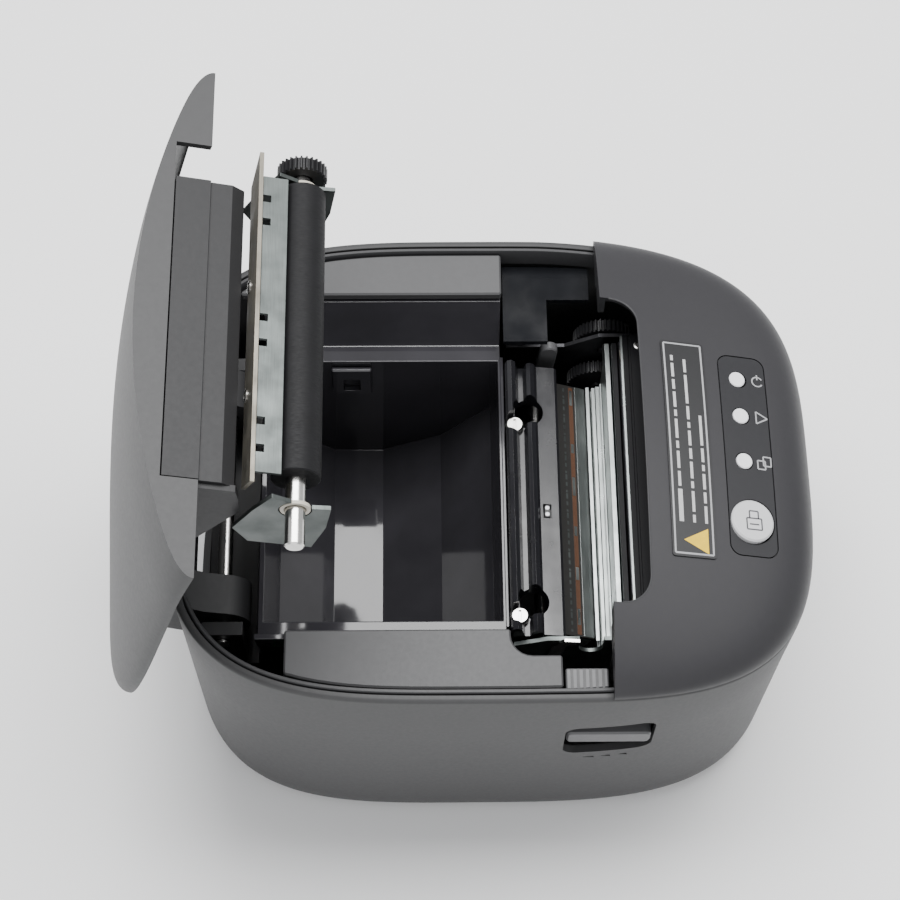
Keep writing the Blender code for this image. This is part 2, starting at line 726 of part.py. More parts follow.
def rounded_stations(x, y, radius, inset=0.0, corner=5, between=14):
    """Stations across a rectangle with rounded ends for strip_solid."""
    low_x, high_x = x[0] + inset, x[1] - inset
    low_y, high_y = y[0] + inset, y[1] - inset
    places = []
    for i in range(corner):
        turn = 0.5 * math.pi * (i + 0.6) / (corner - 0.4)
        places.append((radius * (1 - math.sin(turn)), radius * (1 - math.cos(turn))))
    steps = [(low_x + a, b) for b, a in places]
    steps += [(low_x + radius + (high_x - low_x - 2 * radius) * i / between, 0.0) for i in range(1, between)]
    steps += [(high_x - a, b) for b, a in reversed(places)]
    return [(px, low_y + drop, high_y - drop) for px, drop in steps]


def front_cover(m, place, panel_place):
    cover = dome_shell("front_cover", SPLIT_Y, -FRONT_REACH, COVER_WALL, m["cover"], place, rows=16)
    mouth = rounded_rect((-48.0, 46.0), (-48.6, -20.0), 8.0, 7)
    cut(cover, prism("mouth_tool", "Z", mouth, 104.0, 140.0, None, place))
    below = [(-51.0, 89.4), (55.6, 89.4), (55.6, 106.0), (-51.0, 106.0)]
    cut(cover, prism("mouth_low_tool", "Y", below, -44.4, -30.0, None, place))
    pocket = rounded_stations(PANEL_X, PANEL_Y, 3.4)
    cut(cover, strip_solid("panel_pocket_tool", pocket, -1.1, 3.0, None, place))
    panel = strip_solid("control_panel", rounded_stations(PANEL_X, PANEL_Y, 3.4, 0.35), -0.8, -0.05,
                        m["panel"], place)
    for name, x, y, radius in panel_holes():
        for target in (cover, panel):
            bore = (x, panel_y(y))
            low = panel_height(x) - 6.0
            tool = disc(f"{name}_hole_tool", "Z", bore, radius + CLEAR, low, low + 12.0, None,
                        panel_place, 24)
            cut(target, tool)


PANEL_TILT = math.atan(FRONT_SLOPE)
PANEL_MIDDLE = (0.0, BUTTON_Y, CROWN + FRONT_SLOPE * (BUTTON_Y - SPLIT_Y))


def panel_y(y):
    """Y measured along the sloping panel, from its Y in plan."""
    return PANEL_MIDDLE[1] + (y - PANEL_MIDDLE[1]) / math.cos(PANEL_TILT)


def panel_height(x):
    side = rim_z(BUTTON_Y) + EDGE_STAND
    return PANEL_MIDDLE[2] - (PANEL_MIDDLE[2] - side) * (x / HALF_WIDTH) ** 2


def panel_holes():
    names = ("power_light", "error_light", "paper_light")
    holes = [(name, x, LIGHT_Y, LIGHT_R) for name, x in zip(names, LIGHT_X)]
    holes.append(("feed_button", BUTTON_X, BUTTON_Y, BUTTON_R))
    return holes


def panel_pieces(m, place, button_place):
    for name, x, y, radius in panel_holes():
        base = panel_height(x)
        if name == "feed_button":
            disc(name, "Z", (x, panel_y(y)), radius, base - 4.0, base + 0.9, m["button"],
                 button_place, 32, 0.5)
        else:
            disc(name, "Z", (x, panel_y(y)), radius, base - 4.0, base + 0.25, m["light"], place, 18, 0.3)


def info_label(finish, place):
    stations = rounded_stations(LABEL_X, LABEL_Y, 0.8, corner=2, between=18)
    strip_solid("info_label", stations, 0.3, 0.5, finish, place)


# ---------------------------------------------------------------- the cover and its platen

def cover_shell(finish, place):
    shell = dome_shell("cover_shell", SPLIT_Y + 0.6, BACK_REACH, COVER_WALL, finish, place)
    bay = box("bay_tool", (-46.3, 48.8), (-45.0, -34.0), (95.0, 111.9), None, place)
    cut(shell, bay)


def cover_liner(finish, place):
    """Inner moulding: the tongue over the paper slot, a long web and the hinge arms."""
    tongue = [(-37.3, 111.5), (-37.3, 102.6), (-36.4, 102.4), (-36.4, 96.8), (-34.4, 93.4), (-16.0, 93.4),
              (-9.0, 99.4), (46.0, 99.4), (46.0, 101.6), (-8.0, 101.6), (-16.0, 111.5)]
    liner = prism("cover_liner", "X", tongue, -46.0, 38.5, finish, place)
    flank = [(-35.1, 103.6), (-35.1, 93.2), (-30.6, 91.6), (-24.0, 90.2), (8.0, 103.6)]
    join(liner, prism("flank_tool", "X", flank, -47.4, -45.6, None, place))
    eye = circle(HINGE[1:], 7.9, 20, math.pi, math.pi)
    arm = [(62.1, 84.0)] + eye
    arm += [(77.9, 84.0), (76.5, 92.0), (68.0, 101.2), (42.0, 101.2), (42.0, 100.1), (58.0, 97.0)]
    for side in (-1, 1):
        x = sorted((side * 27.0, side * 39.0))
        join(liner, prism("arm_tool", "X", arm, *x, None, place))
    cut(liner, disc("eye_bore_tool", "X", HINGE[1:], 2.45, -60.0, 60.0, None, place, 24))


def cover_plates(m, place):
    offsets = [(13.8, 12.9), (2.7, 10.0), (-5.7, 6.9), (-1.7, -3.7), (-2.3, -8.4), (8.5, -9.5),
               (20.6, -8.5), (20.6, 7.6)]
    outline = [(PLATEN[0] + y, PLATEN[1] + z) for y, z in offsets]
    for side, x in (("left", (-50.2, -49.1)), ("right", (41.0, 42.1))):
        plate = prism(f"platen_bracket_{side}", "X", outline, *x, m["steel"], place)
        bore = disc(f"{side}_bush_hole_tool", "X", PLATEN, 4.1, x[0] - 1.0, x[1] + 1.0, None, place, 24)
        cut(plate, bore)
        middle = 0.5 * (x[0] + x[1])
        tube(f"platen_bush_{side}", "X", PLATEN, 3.8, 2.8, middle - 0.5, middle + 0.5, m["bush"], place, 24)
    blade = [(-47.7, -42.5), (45.8, -42.5), (42.0, -31.2), (-44.6, -31.2)]
    prism("fixed_blade", "Z", blade, 90.0, 91.1, m["blade"], place)
    strip = [(-44.2, 83.2), (39.6, 83.2), (39.6, 89.7)]
    for x in (33.0, 26.1, -1.7, -8.8, -30.4, -37.8):
        strip.extend([(x + 1.0, 89.7), (x + 1.0, 87.6), (x - 1.0, 87.6), (x - 1.0, 89.7)])
    strip.append((-44.2, 89.7))
    prism("blade_bracket", "Y", strip, -41.0, -40.1, m["steel"], place)


def platen(m, place):
    tube("platen_roller", "X", PLATEN, PLATEN_R, SHAFT_R + CLEAR, *PLATEN_X, m["rubber"], place, 40)
    ends = [(-60.0, SHAFT_R - 0.4), (-59.6, SHAFT_R), (48.2, SHAFT_R), (48.5, SHAFT_R - 0.3)]
    stepped_shaft("platen_shaft", "X", PLATEN, ends, m["chrome"], place)
    outline = gear_outline(PLATEN, PLATEN_TEETH, PLATEN_PHASE)
    gear = prism("platen_gear", "X", outline, *GEAR_X, m["gear"], place)
    cut(gear, disc("platen_gear_bore_tool", "X", PLATEN, SHAFT_R + CLEAR, 40.0, 52.0, None, place, 24))


# ---------------------------------------------------------------- assembly

def empty(name, origin, turn=0.0):
    made = bpy.data.objects.new(name, None)
    made.location = (Vector(origin) + Vector((0.0, SHIFT_Y, 0.0))) * MM
    made.rotation_euler = (math.radians(turn), 0.0, 0.0)
    made.empty_display_size = 0.01
    bpy.context.scene.collection.objects.link(made)
    return made


def child_place(place, origin):
    """A place inside another one, whose pieces turn about their own origin."""
    made = bpy.data.objects.new("spin_axis", None)
    made.parent = place.parent
    made.location = (Vector(origin) - place.origin) * MM
    bpy.context.scene.collection.objects.link(made)
    return Place(origin, made)


def build_materials():
    return {
        "housing": material("housing_grey", (0.13, 0.13, 0.135), 0.55),
        "cover": material("cover_charcoal", (0.055, 0.055, 0.06), 0.45),
        "ledge": material("ledge_grey", (0.2, 0.2, 0.205), 0.5),
        "black": material("black_plastic", (0.012, 0.012, 0.014), 0.25),
        "grey": material("grey_plastic", (0.14, 0.14, 0.15), 0.4),
        "liner": material("liner_grey", (0.11, 0.11, 0.115), 0.55),
        "panel": material("panel_black", (0.04, 0.04, 0.045), 0.35),
        "button": material("button_grey", (0.4, 0.4, 0.4), 0.4),
        "light": material("light_white", (0.75, 0.75, 0.76), 0.3),
        "label": material("label_black", (0.02, 0.02, 0.02), 0.4),
        "steel": material("sheet_steel", (0.45, 0.47, 0.47), 0.3, 1.0),
        "blade": material("blade_steel", (0.5, 0.46, 0.4), 0.35, 1.0),
        "chrome": material("bright_steel", (0.7, 0.69, 0.67), 0.15, 1.0),
        "aluminium": material("aluminium", (0.6, 0.6, 0.62), 0.35, 1.0),
        "ceramic": material("ceramic", (0.5, 0.42, 0.36), 0.3),
        "rubber": material("platen_rubber", (0.04, 0.04, 0.043), 0.7),
        "gear": material("gear_plastic", (0.015, 0.015, 0.017), 0.4),
        "bush": material("bush_plastic", (0.6, 0.58, 0.52), 0.5),
        "board": material("circuit_board", (0.02, 0.12, 0.05), 0.5),
        "socket": material("socket_black", (0.02, 0.02, 0.02), 0.4),
        "switch": material("switch_black", (0.03, 0.03, 0.03), 0.35),
        "foot": material("foot_rubber", (0.03, 0.03, 0.03), 0.85),
    }


def main():
    clear_scene()
    m = build_materials()
    base = Place()
    lower_housing(m["housing"], base)
    inner_rim(m["grey"], base)
    bottom_plate(m["housing"], base)
    feet(m["foot"], base)
    ledges(m["ledge"], base)
    right_deck(m["black"], base)
    guide_block(m["ledge"], base)
    roll_bucket(m["black"], base)
    near_end_sensor(m["black"], base)
    hinge_tray(m["black"], base)
    hinge_pin(m["chrome"], base)
    release_window(m["grey"], base)
    release_lever(m["ledge"], Place((-67.0, -39.2, 66.0)))
    rear_sockets(m, base)
    power_switch(m, Place((30.0, 72.0, 22.0)))
    main_board(m, base)
    guide_frame(m["black"], base)
    mechanism_trim(m, base)
    head_frame(m, base)
    sheet_parts(m, base)
    drive_train(m, base, Place((46.0, *PINION)), Place((46.0, *IDLER)))
    reset_gear(m, Place((52.8, *RESET_AXIS)))
    cutter(m, base, Place((0.0, -57.0, 91.9)))
    latch(m, Place((0.0, *LATCH_PIVOT)))

    panel_plane = empty("panel_plane", PANEL_MIDDLE, math.degrees(PANEL_TILT))
    panel_place = Place(PANEL_MIDDLE, panel_plane)
    front_cover(m, base, panel_place)
    panel_pieces(m, panel_place, panel_place)
    info_label(m["label"], base)

    hinge = empty("cover_hinge", HINGE, -OPEN_ANGLE)
    cover = Place(HINGE, hinge)
    cover_shell(m["housing"], cover)
    cover_liner(m["liner"], cover)
    cover_plates(m, cover)
    platen(m, child_place(cover, (0.0, *PLATEN)))


main()
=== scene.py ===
"""Looks of a desktop receipt printer that stands with its cover open.

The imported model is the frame. The casing shells are drawn again here with finer meshes, from the
same outline formulas and in the same places. Lengths in the drawing are millimetres, measured from
the middle of the casing outline; X is across, -Y the front, Z up. Pieces of the cover are drawn
with the cover shut and are then turned about its hinge to their open place.
"""

import json
import math

import bmesh
import bpy
from mathutils import Matrix, Vector


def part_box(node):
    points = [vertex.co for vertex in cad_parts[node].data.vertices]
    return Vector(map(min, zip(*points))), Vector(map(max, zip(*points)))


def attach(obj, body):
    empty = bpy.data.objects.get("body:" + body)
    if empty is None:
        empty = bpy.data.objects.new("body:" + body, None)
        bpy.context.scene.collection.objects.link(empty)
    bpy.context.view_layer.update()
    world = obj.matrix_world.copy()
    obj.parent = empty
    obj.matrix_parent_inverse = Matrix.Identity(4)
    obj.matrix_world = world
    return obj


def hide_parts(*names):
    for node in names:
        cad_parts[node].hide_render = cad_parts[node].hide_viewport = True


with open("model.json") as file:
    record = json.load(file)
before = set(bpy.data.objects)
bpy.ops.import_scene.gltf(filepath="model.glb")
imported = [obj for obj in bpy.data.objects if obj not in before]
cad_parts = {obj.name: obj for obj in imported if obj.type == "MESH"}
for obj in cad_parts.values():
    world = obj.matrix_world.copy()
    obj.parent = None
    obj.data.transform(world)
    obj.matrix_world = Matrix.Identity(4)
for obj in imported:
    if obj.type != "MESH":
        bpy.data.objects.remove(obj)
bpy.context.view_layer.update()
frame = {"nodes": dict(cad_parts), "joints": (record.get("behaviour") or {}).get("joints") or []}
NODES = frame["nodes"]

MM = 0.001

# ---------------------------------------------------------------- the drawing's place in the frame

HINGE = (0.0, 70.0, 77.0)
HINGE_JOINT = next(joint for joint in frame["joints"] if joint["name"] == "cover_hinge")
ORIGIN = Vector(HINGE_JOINT["pos_m"]) - Vector(HINGE) * MM
OPEN_ANGLE = math.radians(HINGE_JOINT["range_deg"][1])
HINGE_POINT = Vector(HINGE_JOINT["pos_m"])
OPENING = (Matrix.Translation(HINGE_POINT) @ Matrix.Rotation(-OPEN_ANGLE, 4, "X")
           @ Matrix.Translation(-HINGE_POINT))
COVER_BODIES = ("cover", "platen")

# ---------------------------------------------------------------- casing formulas

HALF_WIDTH = 72.5
FRONT_REACH = 97.4
BACK_REACH = 85.7
FRONT_POWER = 3.5
BACK_POWER = 3.4
OUTLINE_STEPS = 240

RIM = 103.0
RIM_DROP = 11.4
DROP_START = -20.0
WALL = 2.2
TAPER = 2.2
FOOT_ROUND = 14.0
BASE_Z = 2.6
SEAM = 0.9

SPLIT_Y = -38.0
CROWN = 120.5
EDGE_STAND = 4.4
BACK_FALL = 0.0009
FRONT_SLOPE = 0.27
COVER_WALL = 1.8
FOOT_TUCK = 4.0
EDGE_POWER = 24
EDGE_CURVE = 0.45
MOUTH_X = (-48.0, 46.0)
MOUTH_Y = (-48.6, -20.0)
MOUTH_ROUND = 8.0
MOUTH_STEPS = 12

PLATEN = (-34.3, 78.3)
PLATEN_R = 6.2

PANEL_X = (-32.5, 30.0)
PANEL_Y = (-85.0, -71.0)
LIGHT_X = (22.0, 10.0, -4.2)
LIGHT_Y = -76.8
LIGHT_R = 2.4
BUTTON_X = -22.3
BUTTON_Y = -78.0
BUTTON_R = 6.3
LABEL_X = (-34.4, 32.4)
LABEL_Y = (-67.0, -54.7)
WINDOW_Y = (-52.0, -26.5)
WINDOW_Z = (57.0, 79.0)
CLEAR = 0.3


def half_power(value, power):
    return math.copysign(abs(value) ** (2.0 / power), value)


def reach_and_power(y):
    return (FRONT_REACH, FRONT_POWER) if y < 0 else (BACK_REACH, BACK_POWER)


def even_outline(count, dense_steps=7200):
    """Points at even spacing round the casing, each with its outward direction."""
    dense = []
    for i in range(dense_steps):
        turn = 2 * math.pi * i / dense_steps
        reach, power = reach_and_power(math.sin(turn))
        x = HALF_WIDTH * half_power(math.cos(turn), power)
        dense.append((x, reach * half_power(math.sin(turn), power)))
    lengths = [math.dist(dense[i], dense[(i + 1) % dense_steps]) for i in range(dense_steps)]
    step = sum(lengths) / count
    result = []
    walked = 0.0
    for i in range(dense_steps):
        if walked >= step * len(result) and len(result) < count:
            along = Vector(dense[(i + 3) % dense_steps]) - Vector(dense[i - 3])
            along.normalize()
            result.append((Vector(dense[i]), Vector((along.y, -along.x))))
        walked += lengths[i]
    return result


OUTLINE = even_outline(OUTLINE_STEPS)


def side_x(y, inset=0.0):
    reach, power = reach_and_power(y)
    share = min(abs(y) / (reach - inset), 1.0)
    return (HALF_WIDTH - inset) * (1.0 - share ** power) ** (1.0 / power)


def rim_z(y):
    if y >= DROP_START:
        return RIM
    share = min((DROP_START - y) / (FRONT_REACH + DROP_START), 1.0)
    return RIM - RIM_DROP * share ** 1.5


def lean(z):
    amount = TAPER * (RIM - z) / RIM
    if z < FOOT_ROUND:
        depth = (FOOT_ROUND - z) / FOOT_ROUND
        amount += FOOT_TUCK * (1.0 - math.sqrt(max(1.0 - depth * depth, 0.0)))
    return amount


def dome_z(x, y, inset=0.0, drop=0.0):
    """Height of a cover's surface. inset and drop move it inwards for the inner skin."""
    reach, power = reach_and_power(y)
    share_x = abs(x) / (HALF_WIDTH - inset)
    share_y = abs(y) / (reach - inset)
    share = (share_x ** power + share_y ** power) ** (1.0 / power)
    if y < SPLIT_Y:
        middle = CROWN - FRONT_SLOPE * (SPLIT_Y - y)
    else:
        middle = CROWN - BACK_FALL * (y - SPLIT_Y) ** 2
    side = rim_z(y) + EDGE_STAND
    crest = middle - (middle - side) * (x / HALF_WIDTH) ** 2 - drop
    foot = rim_z(y) + SEAM
    return foot + (crest - foot) * (1.0 - min(share, 1.0) ** EDGE_POWER) ** EDGE_CURVE


# ---------------------------------------------------------------- mesh building blocks

# Edges flatter than these, in degrees, are shaded smooth; drawn shells get the wider limit, and the
# moulded facets of the listed nodes stay flat
USUAL_EDGE = 30.0
SHELL_EDGE = 38.0
FACETED = {"roll_bucket": 12.0}


def drawn(name, bm):
    """A bmesh in millimetres becomes an object in metres, in the frame."""
    bmesh.ops.recalc_face_normals(bm, faces=bm.faces)
    for vert in bm.verts:
        vert.co = vert.co * MM + ORIGIN
    mesh = bpy.data.meshes.new(name)
    bm.to_mesh(mesh)
    bm.free()
    made = bpy.data.objects.new(name, mesh)
    bpy.context.scene.collection.objects.link(made)
    return made


def apply_modifiers(obj):
    bpy.context.view_layer.update()
    graph = bpy.context.evaluated_depsgraph_get()
    mesh = bpy.data.meshes.new_from_object(obj.evaluated_get(graph))
    obj.modifiers.clear()
    obj.data = mesh


def carve(obj, *tools):
    for tool in tools:
        change = obj.modifiers.new("Carve", "BOOLEAN")
        change.operation = "DIFFERENCE"
        change.solver = "EXACT"
        change.object = tool
    apply_modifiers(obj)
    for tool in tools:
        bpy.data.objects.remove(tool, do_unlink=True)
    return obj


def soften(obj, width, angle=USUAL_EDGE):
    """Rounds the sharp edges and shades the rest smooth."""
    bevel = obj.modifiers.new("Edge", "BEVEL")
    bevel.width = width * MM
    bevel.segments = 2
    bevel.limit_method = "ANGLE"
    bevel.angle_limit = math.radians(angle)
    bevel.use_clamp_overlap = True
    bevel.harden_normals = True
    obj.data.shade_smooth()
    return obj


def settle(obj, body, finish, replaced=(), smooth=USUAL_EDGE):
    """Puts a drawn piece in its place on a body and gives it its finish."""
    if body in COVER_BODIES:
        obj.data.transform(OPENING)
    obj.data.materials.clear()
    obj.data.materials.append(finish)
    obj.data.shade_smooth()
    if not obj.modifiers:
        obj.data.set_sharp_from_angle(angle=math.radians(smooth))
    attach(obj, body)
    if replaced:
        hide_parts(*replaced)
    return obj


def point_at(axis, along, first, second):
    if axis == "X":
        return Vector((along, first, second))
    if axis == "Y":
        return Vector((first, along, second))
    return Vector((first, second, along))


def prism(name, axis, outline, low, high):
    bm = bmesh.new()
    rings = [[bm.verts.new(point_at(axis, along, *p)) for p in outline] for along in (low, high)]
    bridge(bm, rings)
    bm.faces.new(rings[0])
    bm.faces.new(rings[1])
    return drawn(name, bm)


def bridge(bm, rings, closed_chain=False):
    chain = rings + rings[:1] if closed_chain else rings
    for ring, following in zip(chain, chain[1:]):
        for i in range(len(ring)):
            j = (i + 1) % len(ring)
            bm.faces.new((ring[i], ring[j], following[j], following[i]))


def box(name, x, y, z):
    return prism(name, "Z", [(x[0], y[0]), (x[1], y[0]), (x[1], y[1]), (x[0], y[1])], *z)


def arc(centre, radius, steps, start=0.0, sweep=360.0):
    last = steps if sweep >= 360.0 else steps - 1
    turns = [math.radians(start + sweep * i / last) for i in range(steps)]
    return [(centre[0] + radius * math.cos(t), centre[1] + radius * math.sin(t)) for t in turns]


def rounded_rect(first, second, radius, steps=8):
    points = arc((first[1] - radius, second[1] - radius), radius, steps, 0.0, 90.0)
    points += arc((first[0] + radius, second[1] - radius), radius, steps, 90.0, 90.0)
    points += arc((first[0] + radius, second[0] + radius), radius, steps, 180.0, 90.0)
    points += arc((first[1] - radius, second[0] + radius), radius, steps, 270.0, 90.0)
    return points


def turned(name, axis, centre, profile, steps=48):
    """A solid of revolution; profile is a list of (place along the axis, radius)."""
    bm = bmesh.new()
    rings = []
    for along, radius in profile:
        rings.append([bm.verts.new(point_at(axis, along, *p)) for p in arc(centre, radius, steps)])
    bridge(bm, rings)
    bm.faces.new(rings[0])
    bm.faces.new(rings[-1])
    return drawn(name, bm)


def ring_sweep(name, profile):
    """A closed ring round the casing. profile is a loop of (inset, height, at rim) points."""
    bm = bmesh.new()
    rings = []
    for point, outward in OUTLINE:
        ring = []
        for inset, height, at_rim in profile:
            place = point - outward * inset
            z = rim_z(point.y) + height if at_rim else height
            ring.append(bm.verts.new((place.x, place.y, z)))
        rings.append(ring)
    bridge(bm, rings, closed_chain=True)
    return drawn(name, bm)


def dome_skin(bm, rows, across, inset, drop):
    """One skin of a domed cover, with the foot of its end walls as the first and last rows."""

    def foot_row(y):
        half = side_x(y, inset)
        return [bm.verts.new((half * u, y, rim_z(y) + SEAM)) for u in across]

    grid = [foot_row(rows[0])]
    for y in rows:
        half = side_x(y, inset)
        grid.append([bm.verts.new((half * u, y, dome_z(half * u, y, inset, drop))) for u in across])
    grid.append(foot_row(rows[-1]))
    return grid


def border(grid):
    loop = list(grid[0])
    loop.extend(row[-1] for row in grid[1:])
    loop.extend(reversed(grid[-1][:-1]))
    loop.extend(row[0] for row in reversed(grid[1:-1]))
    return loop


def dome_shell(name, start, end, wall, rows=46, columns=81, tip=0.15):
    across = [math.sin(0.5 * math.pi * (2.0 * i / (columns - 1) - 1.0)) for i in range(columns)]
    shares = [math.sin(0.5 * math.pi * i / (rows - 1)) for i in range(rows)]
    sign = 1.0 if end > start else -1.0
    outer_rows = [start + (end - sign * tip - start) * s for s in shares]
    inner_start = start + sign * wall
    inner_rows = [inner_start + (end - sign * (wall + tip) - inner_start) * s for s in shares]
    bm = bmesh.new()
    outer = dome_skin(bm, outer_rows, across, 0.0, 0.0)
    inner = dome_skin(bm, inner_rows, across, wall, wall)
    for grid in (outer, inner):
        for row, following in zip(grid, grid[1:]):
            for i in range(columns - 1):
                bm.faces.new((row[i], row[i + 1], following[i + 1], following[i]))
    rim = (border(outer), border(inner))
    bridge(bm, rim)
    bmesh.ops.remove_doubles(bm, verts=bm.verts, dist=0.001)
    return drawn(name, bm)


def laid_plate(name, outline, low, high, spacing=1.2):
    """A thin plate that follows the front cover, under a flat outline in X and Y."""
    bm = bmesh.new()
    face = bm.faces.new([bm.verts.new((x, y, 0.0)) for x, y in outline])
    bm.normal_update()
    lowest = min(x for x, _ in outline)
    highest = max(x for x, _ in outline)
    cuts = max(int((highest - lowest) / spacing), 1)
    for i in range(1, cuts):
        x = lowest + (highest - lowest) * i / cuts + 0.0137
        geometry = list(bm.verts) + list(bm.edges) + list(bm.faces)
        bmesh.ops.bisect_plane(bm, geom=geometry, plane_co=(x, 0.0, 0.0), plane_no=(1.0, 0.0, 0.0))
    top = bmesh.ops.extrude_face_region(bm, geom=list(bm.faces))
    raised = {item for item in top["geom"] if isinstance(item, bmesh.types.BMVert)}
    for vert in bm.verts:
        vert.co.z = dome_z(vert.co.x, vert.co.y) + (high if vert in raised else low)
    return drawn(name, bm)


def joined(name, parts):
    """Several separate solids become one piece."""
    bm = bmesh.new()
    for part in parts:
        bm.from_mesh(part.data)
        bpy.data.objects.remove(part, do_unlink=True)
    mesh = bpy.data.meshes.new(name)
    bm.to_mesh(mesh)
    bm.free()
    made = bpy.data.objects.new(name, mesh)
    bpy.context.scene.collection.objects.link(made)
    return made


# ---------------------------------------------------------------- materials

class Nodes:
    """A material's node tree, with short calls for the nodes used here."""

    def __init__(self, name, colour, roughness, metallic=0.0):
        self.material = bpy.data.materials.new(name)
        self.material.use_nodes = True
        self.tree = self.material.node_tree
        self.shader = self.tree.nodes["Principled BSDF"]
        self.shader.inputs["Base Color"].default_value = (*colour, 1.0)
        self.shader.inputs["Roughness"].default_value = roughness
        self.shader.inputs["Metallic"].default_value = metallic
        self.place = self.tree.nodes.new("ShaderNodeTexCoord").outputs["Object"]

    def link(self, source, target):
        self.tree.links.new(source, target)

    def stretched(self, scale):
        mapping = self.tree.nodes.new("ShaderNodeMapping")
        mapping.inputs["Scale"].default_value = scale
        self.link(self.place, mapping.inputs["Vector"])
        return mapping.outputs["Vector"]

    def noise(self, size, detail=2.0, vector=None):
        """Noise whose features are about size millimetres across."""
        texture = self.tree.nodes.new("ShaderNodeTexNoise")
        texture.inputs["Scale"].default_value = 1.0 / (size * MM)
        texture.inputs["Detail"].default_value = detail
        self.link(vector or self.place, texture.inputs["Vector"])
        return texture.outputs["Fac"]

    def spread(self, value, low, high, from_low=0.3, from_high=0.7):
        span = self.tree.nodes.new("ShaderNodeMapRange")
        span.inputs["From Min"].default_value = from_low
        span.inputs["From Max"].default_value = from_high
        span.inputs["To Min"].default_value = low
        span.inputs["To Max"].default_value = high
        self.link(value, span.inputs["Value"])
        return span.outputs["Result"]

    def colour_between(self, value, first, second):
        mix = self.tree.nodes.new("ShaderNodeMix")
        mix.data_type = "RGBA"
        mix.inputs["A"].default_value = (*first, 1.0)
        mix.inputs["B"].default_value = (*second, 1.0)
        self.link(value, mix.inputs["Factor"])
        self.link(mix.outputs["Result"], self.shader.inputs["Base Color"])

    def bump(self, height, strength, depth):
        """depth is the height of the relief in millimetres."""
        node = self.tree.nodes.new("ShaderNodeBump")
        node.inputs["Strength"].default_value = strength
        node.inputs["Distance"].default_value = depth * MM
        self.link(height, node.inputs["Height"])
        self.link(node.outputs["Normal"], self.shader.inputs["Normal"])


def shade(colour, amount):
    return tuple(min(channel * amount, 1.0) for channel in colour)


def moulded(name, colour, roughness, grain=0.35, depth=0.02, mottle=0.03, gloss=0.35):
    """Spark-eroded moulding: a fine even grain with slight drifts of tone and gloss."""
    m = Nodes(name, colour, roughness)
    m.shader.inputs["Specular IOR Level"].default_value = gloss
    drift = m.noise(2.2, 3.0)
    dark, light = shade(colour, 1.0 - mottle), shade(colour, 1.0 + mottle)
    m.colour_between(m.spread(drift, 0.0, 1.0), dark, light)
    worn = m.spread(m.noise(1.2, 3.0), roughness - 0.02, roughness + 0.03)
    m.link(worn, m.shader.inputs["Roughness"])
    m.bump(m.noise(grain, 3.0), 0.4, depth)
    return m.material


def polished(name, colour, roughness, flow=14.0, depth=0.006, gloss=0.5):
    """Glossy moulding with faint flow lines and fine wipe marks."""
    m = Nodes(name, colour, roughness)
    m.shader.inputs["Specular IOR Level"].default_value = gloss
    wiped = m.spread(m.noise(9.0, 5.0), roughness * 0.7, roughness * 1.5)
    m.link(wiped, m.shader.inputs["Roughness"])
    m.colour_between(m.spread(m.noise(20.0, 3.0), 0.0, 1.0), shade(colour, 0.85), shade(colour, 1.2))
    m.bump(m.noise(flow, 2.0), 0.35, depth)
    return m.material


def sheet_metal(name, colour, roughness, along=(0.03, 1.0, 1.0), depth=0.004, fleck=0.1):
    """Rolled or ground metal: fine lines along one direction, with cloudy patches."""
    m = Nodes(name, colour, roughness, 1.0)
    lines = m.noise(0.25, 3.0, m.stretched(along))
    clouds = m.noise(7.0, 4.0)
    m.link(m.spread(clouds, roughness * 0.75, roughness * 1.3), m.shader.inputs["Roughness"])
    dark, light = shade(colour, 1.0 - fleck), shade(colour, 1.0 + fleck)
    m.colour_between(m.spread(lines, 0.0, 1.0), dark, light)
    m.bump(lines, 0.4, depth)
    return m.material


def ground_rubber(name, colour):
    """Platen rubber: fine grinding lines round the roller."""
    m = Nodes(name, colour, 0.62)
    m.shader.inputs["Specular IOR Level"].default_value = 0.22
    lines = m.noise(0.18, 2.0, m.stretched((1.0, 0.12, 0.12)))
    m.colour_between(m.spread(m.noise(6.0, 4.0), 0.0, 1.0), shade(colour, 0.85), shade(colour, 1.18))
    m.link(m.spread(lines, 0.55, 0.72), m.shader.inputs["Roughness"])
    m.bump(lines, 0.3, 0.008)
    return m.material


def printed(name, colour, roughness=0.45):
    m = Nodes(name, colour, roughness)
    m.colour_between(m.spread(m.noise(1.4, 3.0), 0.0, 1.0), shade(colour, 0.93), shade(colour, 1.05))
    m.bump(m.noise(0.4, 2.0), 0.1, 0.005)
    return m.material


def milky(name, colour):
    """Pale light guide that lets a little light in."""
    m = Nodes(name, colour, 0.28)
    m.shader.inputs["Subsurface Weight"].default_value = 0.3
    m.shader.inputs["Subsurface Radius"].default_value = (0.001, 0.001, 0.001)
    m.colour_between(m.spread(m.noise(1.6, 2.0), 0.0, 1.0), shade(colour, 0.95), shade(colour, 1.04))
    m.bump(m.noise(0.5, 2.0), 0.1, 0.004)
    return m.material


def circuit(name, colour):
    """Solder mask with paler bands where tracks run under it."""
    m = Nodes(name, colour, 0.35)
    tracks = m.noise(1.1, 1.0, m.stretched((0.2, 1.0, 1.0)))
    m.colour_between(m.spread(tracks, 0.0, 1.0, 0.46, 0.54), colour, shade(colour, 2.0))
    m.bump(tracks, 0.3, 0.03)
    return m.material


